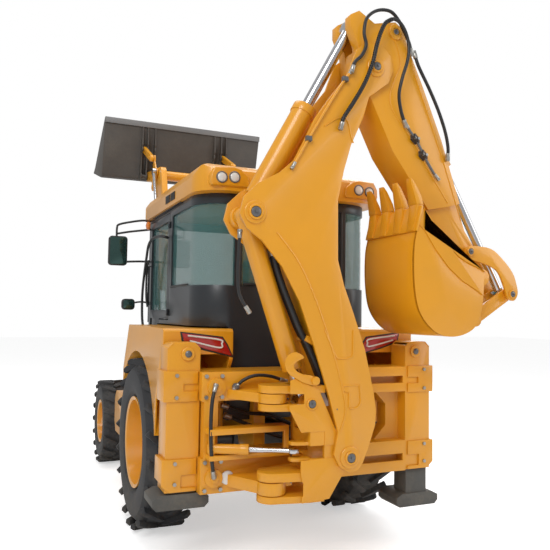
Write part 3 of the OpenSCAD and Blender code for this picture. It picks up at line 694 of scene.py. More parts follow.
def flip(points: Sequence[Sequence[float]], side: int) -> list[tuple[float, ...]]:
    """Move points, given for the right, to one side of the machine."""
    return [(side * x, *rest) for x, *rest in points]


def circle(centre: Vector, radius: float, across: Vector, third: Vector, sides: int) -> list[Vector]:
    """Ring of points round a centre, in the plane of two directions."""
    angles = (2 * math.pi * k / sides for k in range(sides))
    return [centre + radius * (math.cos(a) * across + math.sin(a) * third) for a in angles]


@dataclass
class Form:
    """Closed shapes, given in millimetres and gathered in one mesh."""

    name: str
    shape: bmesh.types.BMesh = field(default_factory=bmesh.new)

    def loft(self, rings: Sequence[Sequence[Sequence[float]]]) -> None:
        """Join rings of equal length into a closed skin with flat ends.

        Args:
            rings: The rings, each a list of points in space.
        """
        rows = [[self.shape.verts.new(Vector(p) * MM) for p in ring] for ring in rings]
        count = len(rows[0])
        faces = [self.shape.faces.new(rows[0]), self.shape.faces.new(rows[-1])]
        for low, high in zip(rows, rows[1:]):
            for i in range(count):
                j = (i + 1) % count
                faces.append(self.shape.faces.new((low[i], low[j], high[j], high[i])))
        bmesh.ops.recalc_face_normals(self.shape, faces=faces)

    def prism(self, outline: Sequence[Flat], axis: Axis, low: float, high: float) -> None:
        """Draw an outline, given by its two other coordinates, out along an axis."""
        cut = axis.value
        self.loft([[(*point[:cut], level, *point[cut:]) for point in outline] for level in (low, high)])

    def box(self, low: Point, high: Point) -> None:
        """Add a block between two corners."""
        outline = [(low[0], low[1]), (high[0], low[1]), (high[0], high[1]), (low[0], high[1])]
        self.prism(outline, Axis.Z, low[2], high[2])

    def turned(self, at: Point, along: Point, profile: Sequence[Flat], sides: int = 32) -> None:
        """Turn a profile round an axis.

        Args:
            at: A point on the axis.
            along: The axis.
            profile: Pairs of distance along the axis and radius.
            sides: Facets round it.
        """
        axis = Vector(along).normalized()
        across = axis.orthogonal().normalized()
        third = axis.cross(across)
        self.loft([circle(Vector(at) + axis * far, radius, across, third, sides) for far, radius in profile])

    def rod(self, centre: Flat, low: float, length: float, radius: float) -> None:
        """Add a pin across the machine, its start counted from the boom's middle."""
        self.turned((centre[0], BOOM_Y + low, centre[1]), (0, 1, 0), [(0, radius), (length, radius)])

    def tube(self, path: Sequence[Vector], radius: float, sides: int = 12) -> None:
        """Sweep a round section along a path.

        Args:
            path: Points of the path.
            radius: Radius of the section.
            sides: Facets round it.
        """
        rings = []
        across = None
        for i, centre in enumerate(path):
            ahead = (path[min(i + 1, len(path) - 1)] - path[max(i - 1, 0)]).normalized()
            across = ahead.orthogonal() if across is None else across - across.dot(ahead) * ahead
            across.normalize()
            rings.append(circle(centre, radius, across, ahead.cross(across), sides))
        self.loft(rings)

    def pipe(self, points: Sequence[Point], radius: float, sides: int, steps: int = 6) -> None:
        """Sweep a round section along a smooth curve."""
        self.tube(curve_through(points, steps), radius, sides)

    def build(self, slot: Slot, bevel: float = 0.0, segments: int = 2) -> bpy.types.Object:
        """Turn the shapes into an object with a finish.

        Args:
            slot: The finish's slot.
            bevel: Rounding of the edges, in millimetres.
            segments: Facets across the rounding.

        Returns:
            The new object.
        """
        mesh = bpy.data.meshes.new(self.name)
        self.shape.to_mesh(mesh)
        self.shape.free()
        made = mesh_object(self.name, mesh, FINISHES[slot].build())
        if bevel:
            round_edges(made, bevel * MM, segments, 30.0)
        bake(made)
        slot.recorded
        return made

    def fit(
        self, body: str, slot: Slot, bevel: float = 0.0, replaces: Sequence[str] = (), segments: int = 2
    ) -> None:
        """Build the object and let it ride on a body.

        Args:
            body: The body that carries it.
            slot: The finish's slot.
            bevel: Rounding of the edges, in millimetres.
            replaces: Nodes that it stands for.
            segments: Facets across the rounding.
        """
        made = self.build(slot, bevel, segments)
        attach(made, body)
        if replaces:
            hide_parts(*replaces)


@dataclass
class Repeat:
    """A shape set down at many points by Geometry Nodes, each turned to face its own way."""

    name: str
    stamp: Stamp
    width: float
    height: float
    depth: float = 10.0
    places: list[tuple[Point, Point]] = field(default_factory=list)

    def add_all(self, points: Sequence[Point], facing: Point) -> None:
        """Add places that face one way."""
        self.places.extend((at, facing) for at in points)

    def draw(self, sheet: NodeSheet, inlet: bpy.types.Node, outlet: bpy.types.Node) -> None:
        """Add the nodes that set the stamp down.

        Args:
            sheet: The tree's sheet.
            inlet: Its input node.
            outlet: Its output node.
        """
        if self.stamp is Stamp.SLAT:
            shape = sheet.add("GeometryNodeMeshCube")
            size = sheet.add("ShaderNodeCombineXYZ")
            for target, source in (("X", "Width"), ("Y", "Height"), ("Z", "Depth")):
                sheet.link((inlet.outputs[source], size.inputs[target]))
            sheet.link((size.outputs["Vector"], shape.inputs["Size"]))
        else:
            sides = 6 if self.stamp is Stamp.BOLT else 14
            shape = sheet.add("GeometryNodeMeshCylinder", {"Vertices": sides})
            for target, source in (("Radius", "Width"), ("Depth", "Height")):
                sheet.link((inlet.outputs[source], shape.inputs[target]))
        facing = sheet.add("GeometryNodeInputNamedAttribute", data_type="FLOAT_VECTOR")
        facing.inputs["Name"].default_value = "facing"
        turn = sheet.add("FunctionNodeAlignRotationToVector", axis="Z")
        points = sheet.add("GeometryNodeInstanceOnPoints")
        real = sheet.add("GeometryNodeRealizeInstances")
        finish = sheet.add("GeometryNodeSetMaterial")
        sheet.link(
            (facing.outputs["Attribute"], turn.inputs["Vector"]),
            (inlet.outputs["Geometry"], points.inputs["Points"]),
            (shape.outputs["Mesh"], points.inputs["Instance"]),
            (turn.outputs["Rotation"], points.inputs["Rotation"]),
            (points.outputs["Instances"], real.inputs["Geometry"]),
            (real.outputs["Geometry"], finish.inputs["Geometry"]),
            (inlet.outputs["Material"], finish.inputs["Material"]),
            (finish.outputs["Geometry"], outlet.inputs["Geometry"]),
        )

    def build(self, slot: Slot) -> bpy.types.Object:
        """Turn the repeat into one plain mesh.

        Args:
            slot: The finish's slot.

        Returns:
            The new object.
        """
        mesh = bpy.data.meshes.new(f"{self.name}_points")
        mesh.from_pydata([Vector(at) * MM for at, _ in self.places], [], [])
        facing = mesh.attributes.new("facing", "FLOAT_VECTOR", "POINT")
        facing.data.foreach_set("vector", [v for _, way in self.places for v in Vector(way).normalized()])
        material = FINISHES[slot].build()
        made = mesh_object(self.name, mesh, material)
        sizes = {"Width": self.width * MM, "Height": self.height * MM, "Depth": self.depth * MM}
        tree = node_group(
            self.stamp.value,
            "GeometryNodeTree",
            [
                ("Geometry", "NodeSocketGeometry", None),
                *((name, "NodeSocketFloat", 0.01) for name in sizes),
                ("Material", "NodeSocketMaterial", None),
            ],
            [("Geometry", "NodeSocketGeometry")],
            self.draw,
        )
        nodes = made.modifiers.new("Repeat", "NODES")
        nodes.node_group = tree
        values = sizes | {"Material": material}
        for item in tree.interface.items_tree:
            if item.in_out == "INPUT" and item.name in values:
                nodes[item.identifier] = values[item.name]
        bake(made)
        slot.recorded
        return made

    def fit(self, body: str, slot: Slot) -> None:
        """Build the repeat and let it ride on a body."""
        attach(self.build(slot), body)


@dataclass
class HoseRun:
    """A flexible hose between two fittings, or a bent steel pipe."""

    name: str
    body: str
    points: Sequence[Point]
    radius: float = 13.0
    slot: Slot = Slot.RUBBER
    held: bool = False
    bends: bool = False

    def fit(self) -> None:
        path = curve_through(self.points, 8)
        form = Form(self.name)
        form.tube(path, self.radius)
        hose = form.build(self.slot)
        ends = Form(f"{self.name}_fittings")
        r = self.radius
        for at, inner in ((path[0], path[2]), (path[-1], path[-3])):
            along = (inner - at).normalized()
            crimp = [(-16, r * 0.8), (-2, r * 0.85), (-2, r * 1.35), (34, r * 1.35), (36, r * 1.1)]
            ends.turned(at, along, crimp, 20)
            ends.turned(at, along, [(-22, r * 1.55), (-2, r * 1.55)], 6)
        fittings = ends.build(Slot.ZINC, 0.8)
        for piece in (hose, fittings):
            if self.bends:
                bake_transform(piece)
            else:
                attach(piece, self.body)
        if self.held:
            return


def pin_caps(
    first: int, body: str, pins: Sequence[tuple[Flat, float, float]], sides: Sequence[int] = SIDES
) -> None:
    """Fit domed pin ends, each with its ring and keeper bolt.

    Args:
        first: Number in the name of the first.
        body: The body that carries them.
        pins: For each pin its centre, how far its face is from the boom's middle, and the ring's radius.
        sides: Sides of the boom that get one.
    """
    for index, (centre, reach, r) in enumerate(pins):
        for place, side in enumerate(sides):
            at = (centre[0], BOOM_Y + side * reach, centre[1])
            number = first + len(sides) * index + place
            way = (0.0, side, 0.0)
            ring = Form(f"pin_ring_{number}")
            ring.turned(at, way, [(-4, r), (9, r), (13, r - 4), (13, r * 0.72), (-4, r * 0.72)], 40)
            ring.fit(body, Slot.YELLOW, 1.2)
            dome = Form(f"pin_end_{number}")
            dome.turned(at, way, [(-2, r * 0.7), (8, r * 0.7), (15, r * 0.6), (18, r * 0.3), (18.5, 1.0)], 40)
            dome.turned(at, way, [(17, r * 0.2), (27, r * 0.2), (29, r * 0.16)], 6)
            dome.fit(body, Slot.STEEL, 0.8)


def weld_seams(name: str, body: str, y: float, radius: float, runs: Sequence[Sequence[Flat]]) -> None:
    """Raise weld seams on one side of the boom or the dipper.

    Args:
        name: The piece's name.
        body: The body that carries it.
        y: Where the seams lie.
        radius: Radius of a seam.
        runs: The seams' lines.
    """
    form = Form(name)
    for run in runs:
        form.pipe([(x, y, z) for x, z in run], radius, 8)
    form.fit(body, Slot.YELLOW)


@dataclass
class Boom:
    """Dressing of the boom: pin ends, seams, pipes and hoses."""

    body: str = "boom_body"
    half: float = 172.0
    pins: Sequence[Flat] = ((-677.0, 2493.0), (48.0, 859.0), HEAD_PIN)
    seams: Sequence[Sequence[Flat]] = (
        [(-30, 1040), (10, 1190), (-40, 1420), (-130, 1690), (-240, 1960), (-365, 2190), (-520, 2370)],
        [(-172, 3132), (-60, 3204), (10, 3190), (37, 3092), (57, 3040)],
        [
            (-156, 1726), (-110, 1630), (-65, 1545), (-40, 1532), (20, 1532), (60, 1545), (67, 1580),
            (69, 1727),
        ],
        [
            (37, 1200), (39, 1290), (34, 1300), (0, 1312), (3, 1345), (110, 1346), (122, 1335),
            (129, 1227), (95, 1192), (45, 1190),
        ],
    )
    pipe: Sequence[Flat] = ((33, 3557), (-56, 3430), (-155, 3270), (-262, 3090), (-360, 2920), (-415, 2820))
    outer_hose: Sequence[Flat] = (
        (33, 3557), (56, 3620), (113, 3681), (146, 3760), (129, 3845), (145, 3944), (195, 4006),
        (271, 4044), (357, 4047), (427, 4001), (480, 3936), (533, 3856), (560, 3785),
    )
    inner_hose: Sequence[Flat] = (
        (-52, 3137), (-37, 3203), (35, 3320), (115, 3463), (180, 3619), (213, 3750), (246, 3853),
        (288, 3936), (348, 3978), (410, 3965), (462, 3900), (490, 3800), (478, 3690), (440, 3560),
        (425, 3440), (455, 3330), (505, 3240),
    )
    bundle: Sequence[Flat] = (
        (-505, 2260), (-468, 2120), (-410, 1975), (-352, 1845), (-295, 1722), (-237, 1621), (-179, 1504),
        (-128, 1387), (-69, 1269), (-18, 1151), (25, 1061),
    )
    ram_hose: Sequence[Flat] = ((-757, 2359), (-762, 2241), (-765, 2078), (-750, 1950), (-690, 1850))
    guarded: int = 9
    guard_set_in: float = 32.0
    guard_step: float = 15.0

    def plates(self) -> None:
        """Add the boss plates at the pins, the seams, and the pipe with its clamps."""
        form = Form("boom_bosses")
        for (x, z), radius in zip(self.pins, (78.0, 76.0, 72.0)):
            for side in SIDES:
                profile = [(-6, radius), (9, radius), (14, radius - 6), (14, 30)]
                form.turned((x, BOOM_Y + side * self.half, z), (0, side, 0), profile, 48)
        form.fit(self.body, Slot.YELLOW, 1.5)
        near = BOOM_Y - self.half
        weld_seams("boom_weld_seams", self.body, near - 1.0, 5.5, self.seams)
        y = near - 14.0
        HoseRun("boom_pipe", self.body, [(x, y, z) for x, z in self.pipe], 9.0, Slot.YELLOW, held=True).fit()
        clamps = Repeat("boom_pipe_clamps", Stamp.SLAT, 42.0, 34.0, 26.0)
        clamps.add_all([(-20, y, 3484), (-300, y, 3024)], (0, -1, 0.2))
        clamps.fit(self.body, Slot.STEEL)

    def head_hoses(self) -> None:
        """Add the two hoses over the boom's head, one of them in a spiral guard."""
        for name, run, depth in (
            ("boom_hose_outer", self.outer_hose, 0.0),
            ("boom_hose_inner", self.inner_hose, self.guard_set_in),
        ):
            last = len(run) - 1
            sunk = [depth * min(1.0, i / 3.0, (last - i) / 3.0) for i in range(last + 1)]
            raised = [34.0 * max(0.0, (i - last + 4) / 4.0) for i in range(last + 1)]
            points = [(x, HOSE_Y - down + up, z) for (x, z), down, up in zip(run, sunk, raised)]
            HoseRun(name, self.body, points, 12.5, bends=True).fit()
        guard = Repeat("hose_spiral_guard", Stamp.RING, 15.5, 7.0)
        points = [
            (x, HOSE_Y - self.guard_set_in * min(1.0, i / 3.0), z)
            for i, (x, z) in enumerate(self.inner_hose[: self.guarded])
        ]
        path = curve_through(points, 30)
        travelled = 0.0
        for a, b in zip(path, path[1:]):
            travelled += (b - a).length
            if travelled > self.guard_step:
                guard.add_all([tuple(b)], tuple(b - a))
                travelled = 0.0
        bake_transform(guard.build(Slot.RUBBER))

    def foot_hoses(self) -> None:
        """Add the bundle down to the foot, its clamp and wrap, and the ram's port hose."""
        for index, (depth, shift) in enumerate(((-20, 18), (26, 32), (-62, 6))):
            points = [(x + shift, BOOM_Y + depth, z) for x, z in self.bundle]
            HoseRun(f"boom_bundle_{index}", self.body, points, 23.0, held=True).fit()
        band = Form("bundle_clamp")
        outline = [(-266, 1652), (-170, 1600), (-150, 1636), (-246, 1688)]
        band.prism(outline, Axis.Y, BOOM_Y - 100, BOOM_Y + 60)
        band.fit(self.body, Slot.YELLOW, 6.0)
        wrap = Form("bundle_wrap")
        y = BOOM_Y - 24
        wrap.pipe([(-92, y, 1340), (-50, y, 1255), (-30, y, 1215)], 52.0, 20, 4)
        wrap.fit(self.body, Slot.LAMP_CLEAR)
        points = [(x, BOOM_Y - 110, z) for x, z in self.ram_hose]
        HoseRun("boom_ram_hose", "boom_cylinder", points, 11.0, held=True).fit()

    def fit(self) -> None:
        """Dress the boom."""
        self.plates()
        self.head_hoses()
        self.foot_hoses()
        pin_caps(0, self.body, [(at, 186.0, r) for at, r in zip(self.pins, (52.0, 46.0, 44.0))])


@dataclass
class Dipper:
    """Dressing of the dipper: pipe with clamps, crowd hose, weld seams and pins."""

    body: str = "dipper_body"
    half: float = 140.0
    crowd_foot: Flat = (430.0, 3929.0)
    pipe: Sequence[Flat] = ((505, 3240), (545, 3190), (603, 3125), (675, 3011), (748, 2910), (790, 2866))
    clamps: Sequence[Flat] = ((590, 3140), (662, 3026))
    crowd_hose: Sequence[Flat] = (
        (560, 3785), (596, 3685), (686, 3532), (770, 3380), (840, 3230), (880, 3110), (890, 3030),
    )
    seams: Sequence[Sequence[Flat]] = (
        [
            (395, 3925), (451, 3803), (470, 3690), (410, 3540), (380, 3420), (420, 3320), (581, 3134),
            (739, 2910), (905, 2690),
        ],
        [(600, 3640), (760, 3260), (905, 2900), (1030, 2560)],
    )

    def fit(self) -> None:
        """Dress the dipper."""
        near = BOOM_Y - self.half
        y = near - 16.0
        points = [(x, y - 10, z) for x, z in self.pipe]
        HoseRun("dipper_pipe", self.body, points, 10.0, Slot.STEEL, held=True).fit()
        blocks = Repeat("dipper_pipe_clamps", Stamp.SLAT, 64.0, 46.0, 40.0)
        blocks.add_all([(x, y - 6, z) for x, z in self.clamps], (0.5, -1, 0.3))
        blocks.fit(self.body, Slot.DARK)
        bolts = Repeat("dipper_clamp_bolts", Stamp.BOLT, 11.0, 10.0)
        bolts.add_all([(x + dx, y - 30, z) for x, z in self.clamps for dx in (-16, 16)], REARWARDS)
        bolts.fit(self.body, Slot.ZINC)
        points = [
            (x + 26 * (1 - i / 6), y - 24 * math.sin(math.pi * i / 6) - 4, z)
            for i, (x, z) in enumerate(self.crowd_hose)
        ]
        HoseRun("crowd_hose", self.body, points, 12.5).fit()
        weld_seams("dipper_weld_seams", self.body, near - 0.5, 4.5, self.seams)
        lug = Form("dipper_side_lug")
        for side in SIDES:
            for (x, z), radius in ((self.crowd_foot, 58.0), (HEAD_PIN, 66.0)):
                profile = [(-8, radius), (9, radius), (12, radius - 4)]
                lug.turned((x, BOOM_Y + side * self.half, z), (0, side, 0), profile, 40)
        lug.fit(self.body, Slot.YELLOW, 1.2)
        pin_caps(20, self.body, [(at, 139.0, 34.0) for at in (self.crowd_foot, (1120.0, 2332.0))])


@dataclass
class DiggerBucket:
    """The backhoe bucket: rolled skin, cheeks, lip band, adapters and tapered teeth."""

    half: float = 330.0
    wall: float = 20.0
    cheek: float = 22.0
    tooth_gap: float = 178.0
    nose: Flat = (1270.0, 2141.0)
    link: Flat = (1200.0, 1807.0)
    outer: Sequence[Flat] = (
        (534, 2602), (488, 2426), (466, 2300), (466, 2090), (496, 1900), (574, 1776), (690, 1700),
        (830, 1688), (960, 1728), (1030, 1800), (1070, 1930), (1092, 2160),
    )
    mouth: Sequence[Flat] = (
        (1092, 2160), (1035, 2186), (930, 2225), (830, 2278), (711, 2383), (605, 2510), (534, 2602),
    )
    strip: Sequence[Flat] = (
        (1067, 1990), (1020, 2020), (880, 2090), (760, 2180), (640, 2310), (545, 2440), (505, 2470),
    )

    def shell(self, form: Form) -> None:
        """Roll the skin, close its two sides, edge them and lay the lip band.

        Args:
            form: The form that takes it.
        """
        line = flat_curve(self.outer, 5)
        edge = flat_curve(self.mouth, 4)
        middle = Vector((780.0, 2150.0))
        inner = []
        for i, (x, z) in enumerate(line):
            a, b = line[max(i - 1, 0)], line[min(i + 1, len(line) - 1)]
            along = Vector((b[0] - a[0], b[1] - a[1])).normalized()
            normal = Vector((-along.y, along.x))
            if normal.dot(middle - Vector((x, z))) < 0:
                normal = -normal
            inner.append((x + self.wall * normal.x, z + self.wall * normal.y))
        form.prism(line + inner[::-1], Axis.Y, BOOM_Y - self.half + 2, BOOM_Y + self.half - 2)
        for side in SIDES:
            face = BOOM_Y + side * self.half
            form.prism(line + edge[1:-1], Axis.Y, *sorted((face, face - side * self.cheek)))
            form.prism(edge + list(self.strip), Axis.Y, *sorted((face - side, face + side * 8.0)))
        lip = [(536, 2606), (490, 2426), (474, 2430), (518, 2611)]
        form.prism(lip, Axis.Y, BOOM_Y - self.half - 6, BOOM_Y + self.half + 6)

    def teeth(self, form: Form) -> None:
        """Set the adapters and the tapered teeth along the lip.

        Args:
            form: The form that takes them.
        """
        adapter = ((470, 2436, 512, 2420, 40), (488, 2545, 556, 2560, 48), (498, 2636, 548, 2636, 46))
        tip = (
            (494, 2622, 552, 2622, 50), (482, 2680, 538, 2680, 43), (461, 2770, 497, 2770, 30),
            (455, 2808, 470, 2808, 24),
        )
        for step in (-1.5, -0.5, 0.5, 1.5):
            y = BOOM_Y + step * self.tooth_gap
            for sections in (adapter, tip):
                form.loft(
                    [
                        [(x0, y - w, z0), (x1, y - w, z1), (x1, y + w, z1), (x0, y + w, z0)]
                        for x0, z0, x1, z1, w in sections
                    ]
                )

    def fit(self) -> None:
        """Build the bucket with its two ears and the pins that they carry."""
        form = Form("digger_bucket_form")
        self.shell(form)
        self.teeth(form)
        for low, high in ((85, 110), (-110, -85)):
            for outline in (
                capsule(self.nose, (1060, 2050), 62, 62),
                capsule(self.link, (1030, 1830), 52, 52),
                [self.nose, (1040, 2100), (1030, 1830), self.link],
            ):
                form.prism(outline, Axis.Y, BOOM_Y + low, BOOM_Y + high)
        form.rod(self.nose, -112, 224, 35)
        for low in (-112, 82):
            form.rod(self.link, low, 30, 30)
        form.rod((1062, 2080), -110, 220, 46)
        form.fit("rear_bucket", Slot.YELLOW, 3.0, ["digger_bucket"])


@dataclass
class TippingLever:
    """The curved lever pair between the crowd ram and the bucket's link."""

    outline: Sequence[Flat] = (
        (1080, 2360), (1150, 2378), (1330, 2365), (1452, 2285), (1551, 2183), (1590, 2090), (1601, 2015),
        (1561, 1963), (1499, 1985), (1450, 2102), (1390, 2196), (1269, 2243), (1126, 2274), (1078, 2300),
    )
    pin: Flat = (1540.0, 2014.0)

    def fit(self) -> None:
        """Build the two plates and the pin's halves."""
        form = Form("tipping_lever_form")
        line = flat_curve([*self.outline, self.outline[0]], 4)[:-1]
        for low, high in ((115, 135), (-135, -115)):
            form.prism(line, Axis.Y, BOOM_Y + low, BOOM_Y + high)
        for low in (-134, 58):
            form.rod(self.pin, low, 76, 30)
        form.fit("tip_lever", Slot.YELLOW, 2.5, ["tipping_lever"])
        pin_caps(30, "tip_lever", [(self.pin, 134.0, 34.0)])


@dataclass
class Kingpost:
    """Dressing of the kingpost and carriage: side plate, hook, hoses and knob."""

    upper_plate: Sequence[Flat] = (
        (-132, 948), (-132, 1042), (-310, 1042), (-398, 1198), (-398, 1226), (-290, 1230), (-290, 1296),
        (-394, 1300), (-394, 1389), (-345, 1405), (-180, 1320), (-44, 1036), (30, 935), (-60, 930),
        (-60, 948),
    )
    lower_plate: Sequence[Flat] = (
        (-132, 862), (-60, 862), (100, 905), (125, 860), (105, 800), (30, 775), (-94, 590), (-300, 578),
        (-300, 621), (-290, 625), (-290, 713), (-300, 717), (-310, 790), (-310, 855),
    )
    hook: Sequence[Flat] = (
        (-439, 1495), (-436, 1530), (-420, 1556), (-390, 1574), (-356, 1578), (-315, 1560), (-297, 1540),
        (-330, 1524), (-358, 1512), (-376, 1492), (-370, 1468), (-345, 1446), (-307, 1430), (-250, 1422),
        (-212, 1407), (-188, 1371), (-198, 1356), (-227, 1351), (-306, 1374), (-400, 1425), (-430, 1460),
    )
    clamp_hose: Sequence[Point] = (
        (-802, -1352, 1321), (-829, -1372, 1233), (-840, -1384, 1098), (-836, -1384, 929),
        (-819, -1372, 793), (-803, -1352, 724),
    )
    arc_hose: Sequence[Point] = (
        (-641, -1312, 1306), (-589, -1330, 1361), (-499, -1345, 1393), (-383, -1355, 1383),
        (-290, -1365, 1350),
    )
    chassis_hoses: Sequence[Sequence[Point]] = (
        [(-650, -1090, 1151), (-467, -1080, 1091), (-263, -1080, 1059), (-7, -1090, 946)],
        [(-625, -1090, 1077), (-425, -1080, 992), (-219, -1080, 905), (-6, -1090, 854)],
    )
    front: float = -1290.0

    def fit(self) -> None:
        """Dress the kingpost and the carriage."""
        plate = Form("kingpost_side_plate")
        for outline in (self.upper_plate, self.lower_plate):
            plate.prism(outline, Axis.Y, BOOM_Y - 148.0, BOOM_Y - 140.0)
        plate.fit("king", Slot.YELLOW, 2.0)
        pin_caps(40, "king", [((-234.0, 1229.0), 147.0, 40.0), ((-53.0, 1189.0), 147.0, 26.0)], (-1,))
        hook = Form("boom_lock_hook")
        hook.prism(self.hook, Axis.Y, BOOM_Y - 158, BOOM_Y - 146)
        hook.turned((-213, BOOM_Y - 140, 1383), REARWARDS, [(0, 30), (28, 30), (32, 24)])
        hook.fit("king", Slot.YELLOW, 4.0)
        HoseRun("clamp_hose", "side_shift", self.clamp_hose).fit()
        HoseRun("carriage_hose", "side_shift", self.arc_hose, 12.0, held=True).fit()
        for index, run in enumerate(self.chassis_hoses):
            HoseRun(f"chassis_hose_{index}", "machine", run, 14.0, held=True).fit()
        ports = Form("carriage_ports")
        ports.turned((-635, self.front, 1312), REARWARDS, [(0, 26), (20, 26), (20, 16), (44, 16)])
        ports.fit("side_shift", Slot.STEEL, 1.5)
        knob = Form("carriage_knob")
        profile = [(-30, 40), (4, 40), (4, 48), (12, 48), (16, 38), (16, 10)]
        knob.turned((-685, self.front, 686), REARWARDS, profile, 36)
        knob.fit("side_shift", Slot.LAMP_CLEAR, 3.0)
        bolts = Repeat("carriage_bolts", Stamp.BOLT, 15.0, 16.0)
        heights = (1245, 1390, 610, 800)
        bolts.add_all([(x, self.front - 7, z) for x in (-850, -735, -185, -85) for z in heights], REARWARDS)
        bolts.fit("side_shift", Slot.ZINC)


@dataclass
class StabiliserFrame:
    """Dressing of the stabiliser frame: sleeves, caps, ports and bolts."""

    rear: float = -1200.0
    sleeves: Sequence[tuple[Sequence[Flat], Flat]] = (
        (
            [
                (885, 1209), (1131, 1209), (1131, 1423), (885, 1423), (885, 1331), (988, 1331),
                (988, 1282), (885, 1282),
            ],
            (1209, 1423),
        ),
        (
            [
                (885, 592), (1075, 592), (1131, 640), (1131, 817), (885, 817), (885, 706), (994, 706),
                (994, 620), (885, 620),
            ],
            (652, 817),
        ),
    )
    cap: Sequence[Flat] = ((1059, 1614), (1065, 1619), (1107, 1578), (1104, 1574))

    def fit(self) -> None:
        """Dress the frame."""
        sleeves, caps = Form("rail_sleeves"), Form("housing_caps")
        ring, port = Form("housing_port_rings"), Form("housing_ports")
        bolts = Repeat("housing_bolts", Stamp.BOLT, 14.0, 14.0)
        for side in SIDES:
            for outline, (low, high) in self.sleeves:
                sleeves.prism(flip(outline, side), Axis.Y, self.rear - 14, self.rear + 1)
                edge = flip([(1104, low), (1131, low), (1131, high), (1104, high)], side)
                sleeves.prism(edge, Axis.Y, self.rear + 0.4, self.rear + 200)
            caps.prism(flip(self.cap, side), Axis.Y, self.rear - 3, self.rear + 208)
            at = (side * 960, self.rear, 1540)
            ring.turned(at, REARWARDS, [(-2, 48), (12, 48), (16, 43), (16, 24)], 40)
            port.turned(at, REARWARDS, [(8, 26), (22, 24), (28, 14), (28, 4)], 24)
            bolts.add_all([(side * 1040, self.rear - 20, z) for z in (1240, 1392, 650, 790)], REARWARDS)
        sleeves.fit("machine", Slot.YELLOW, 5.0)
        caps.fit("machine", Slot.YELLOW, 3.0)
        ring.fit("machine", Slot.YELLOW, 1.0)
        port.fit("machine", Slot.STEEL, 1.0)
        bolts.fit("machine", Slot.ZINC)


@dataclass
class TailLamps:
    """Slanted rear lamps with a pale light guide in each."""

    face: float = -985.0
    lens: Sequence[Flat] = ((948, 1679), (637, 1642), (600, 1590), (555, 1506), (769, 1561), (931, 1613))
    back: Sequence[Flat] = ((962, 1690), (630, 1652), (590, 1596), (538, 1492), (775, 1549), (945, 1603))
    guide: Sequence[Flat] = ((905, 1660), (660, 1630), (640, 1600), (660, 1570), (890, 1622))

    def fit(self) -> None:
        """Build the lenses, the backs and the guides."""
        lens, back, guide = (Form(f"tail_lamp_{word}") for word in ("lenses", "backs", "guides"))
        for side in SIDES:
            lens.prism(flip(self.lens, side), Axis.Y, self.face, -972)
            back.prism(flip(self.back, side), Axis.Y, -979, -960)
            guide.pipe([(side * x, self.face - 2, z) for x, z in self.guide], 7.0, 8)
        lens.fit("machine", Slot.LAMP_RED, 4.0, ["tail_lamps"])
        back.fit("machine", Slot.PLASTIC, 3.0)
        guide.fit("machine", Slot.LAMP_CLEAR)


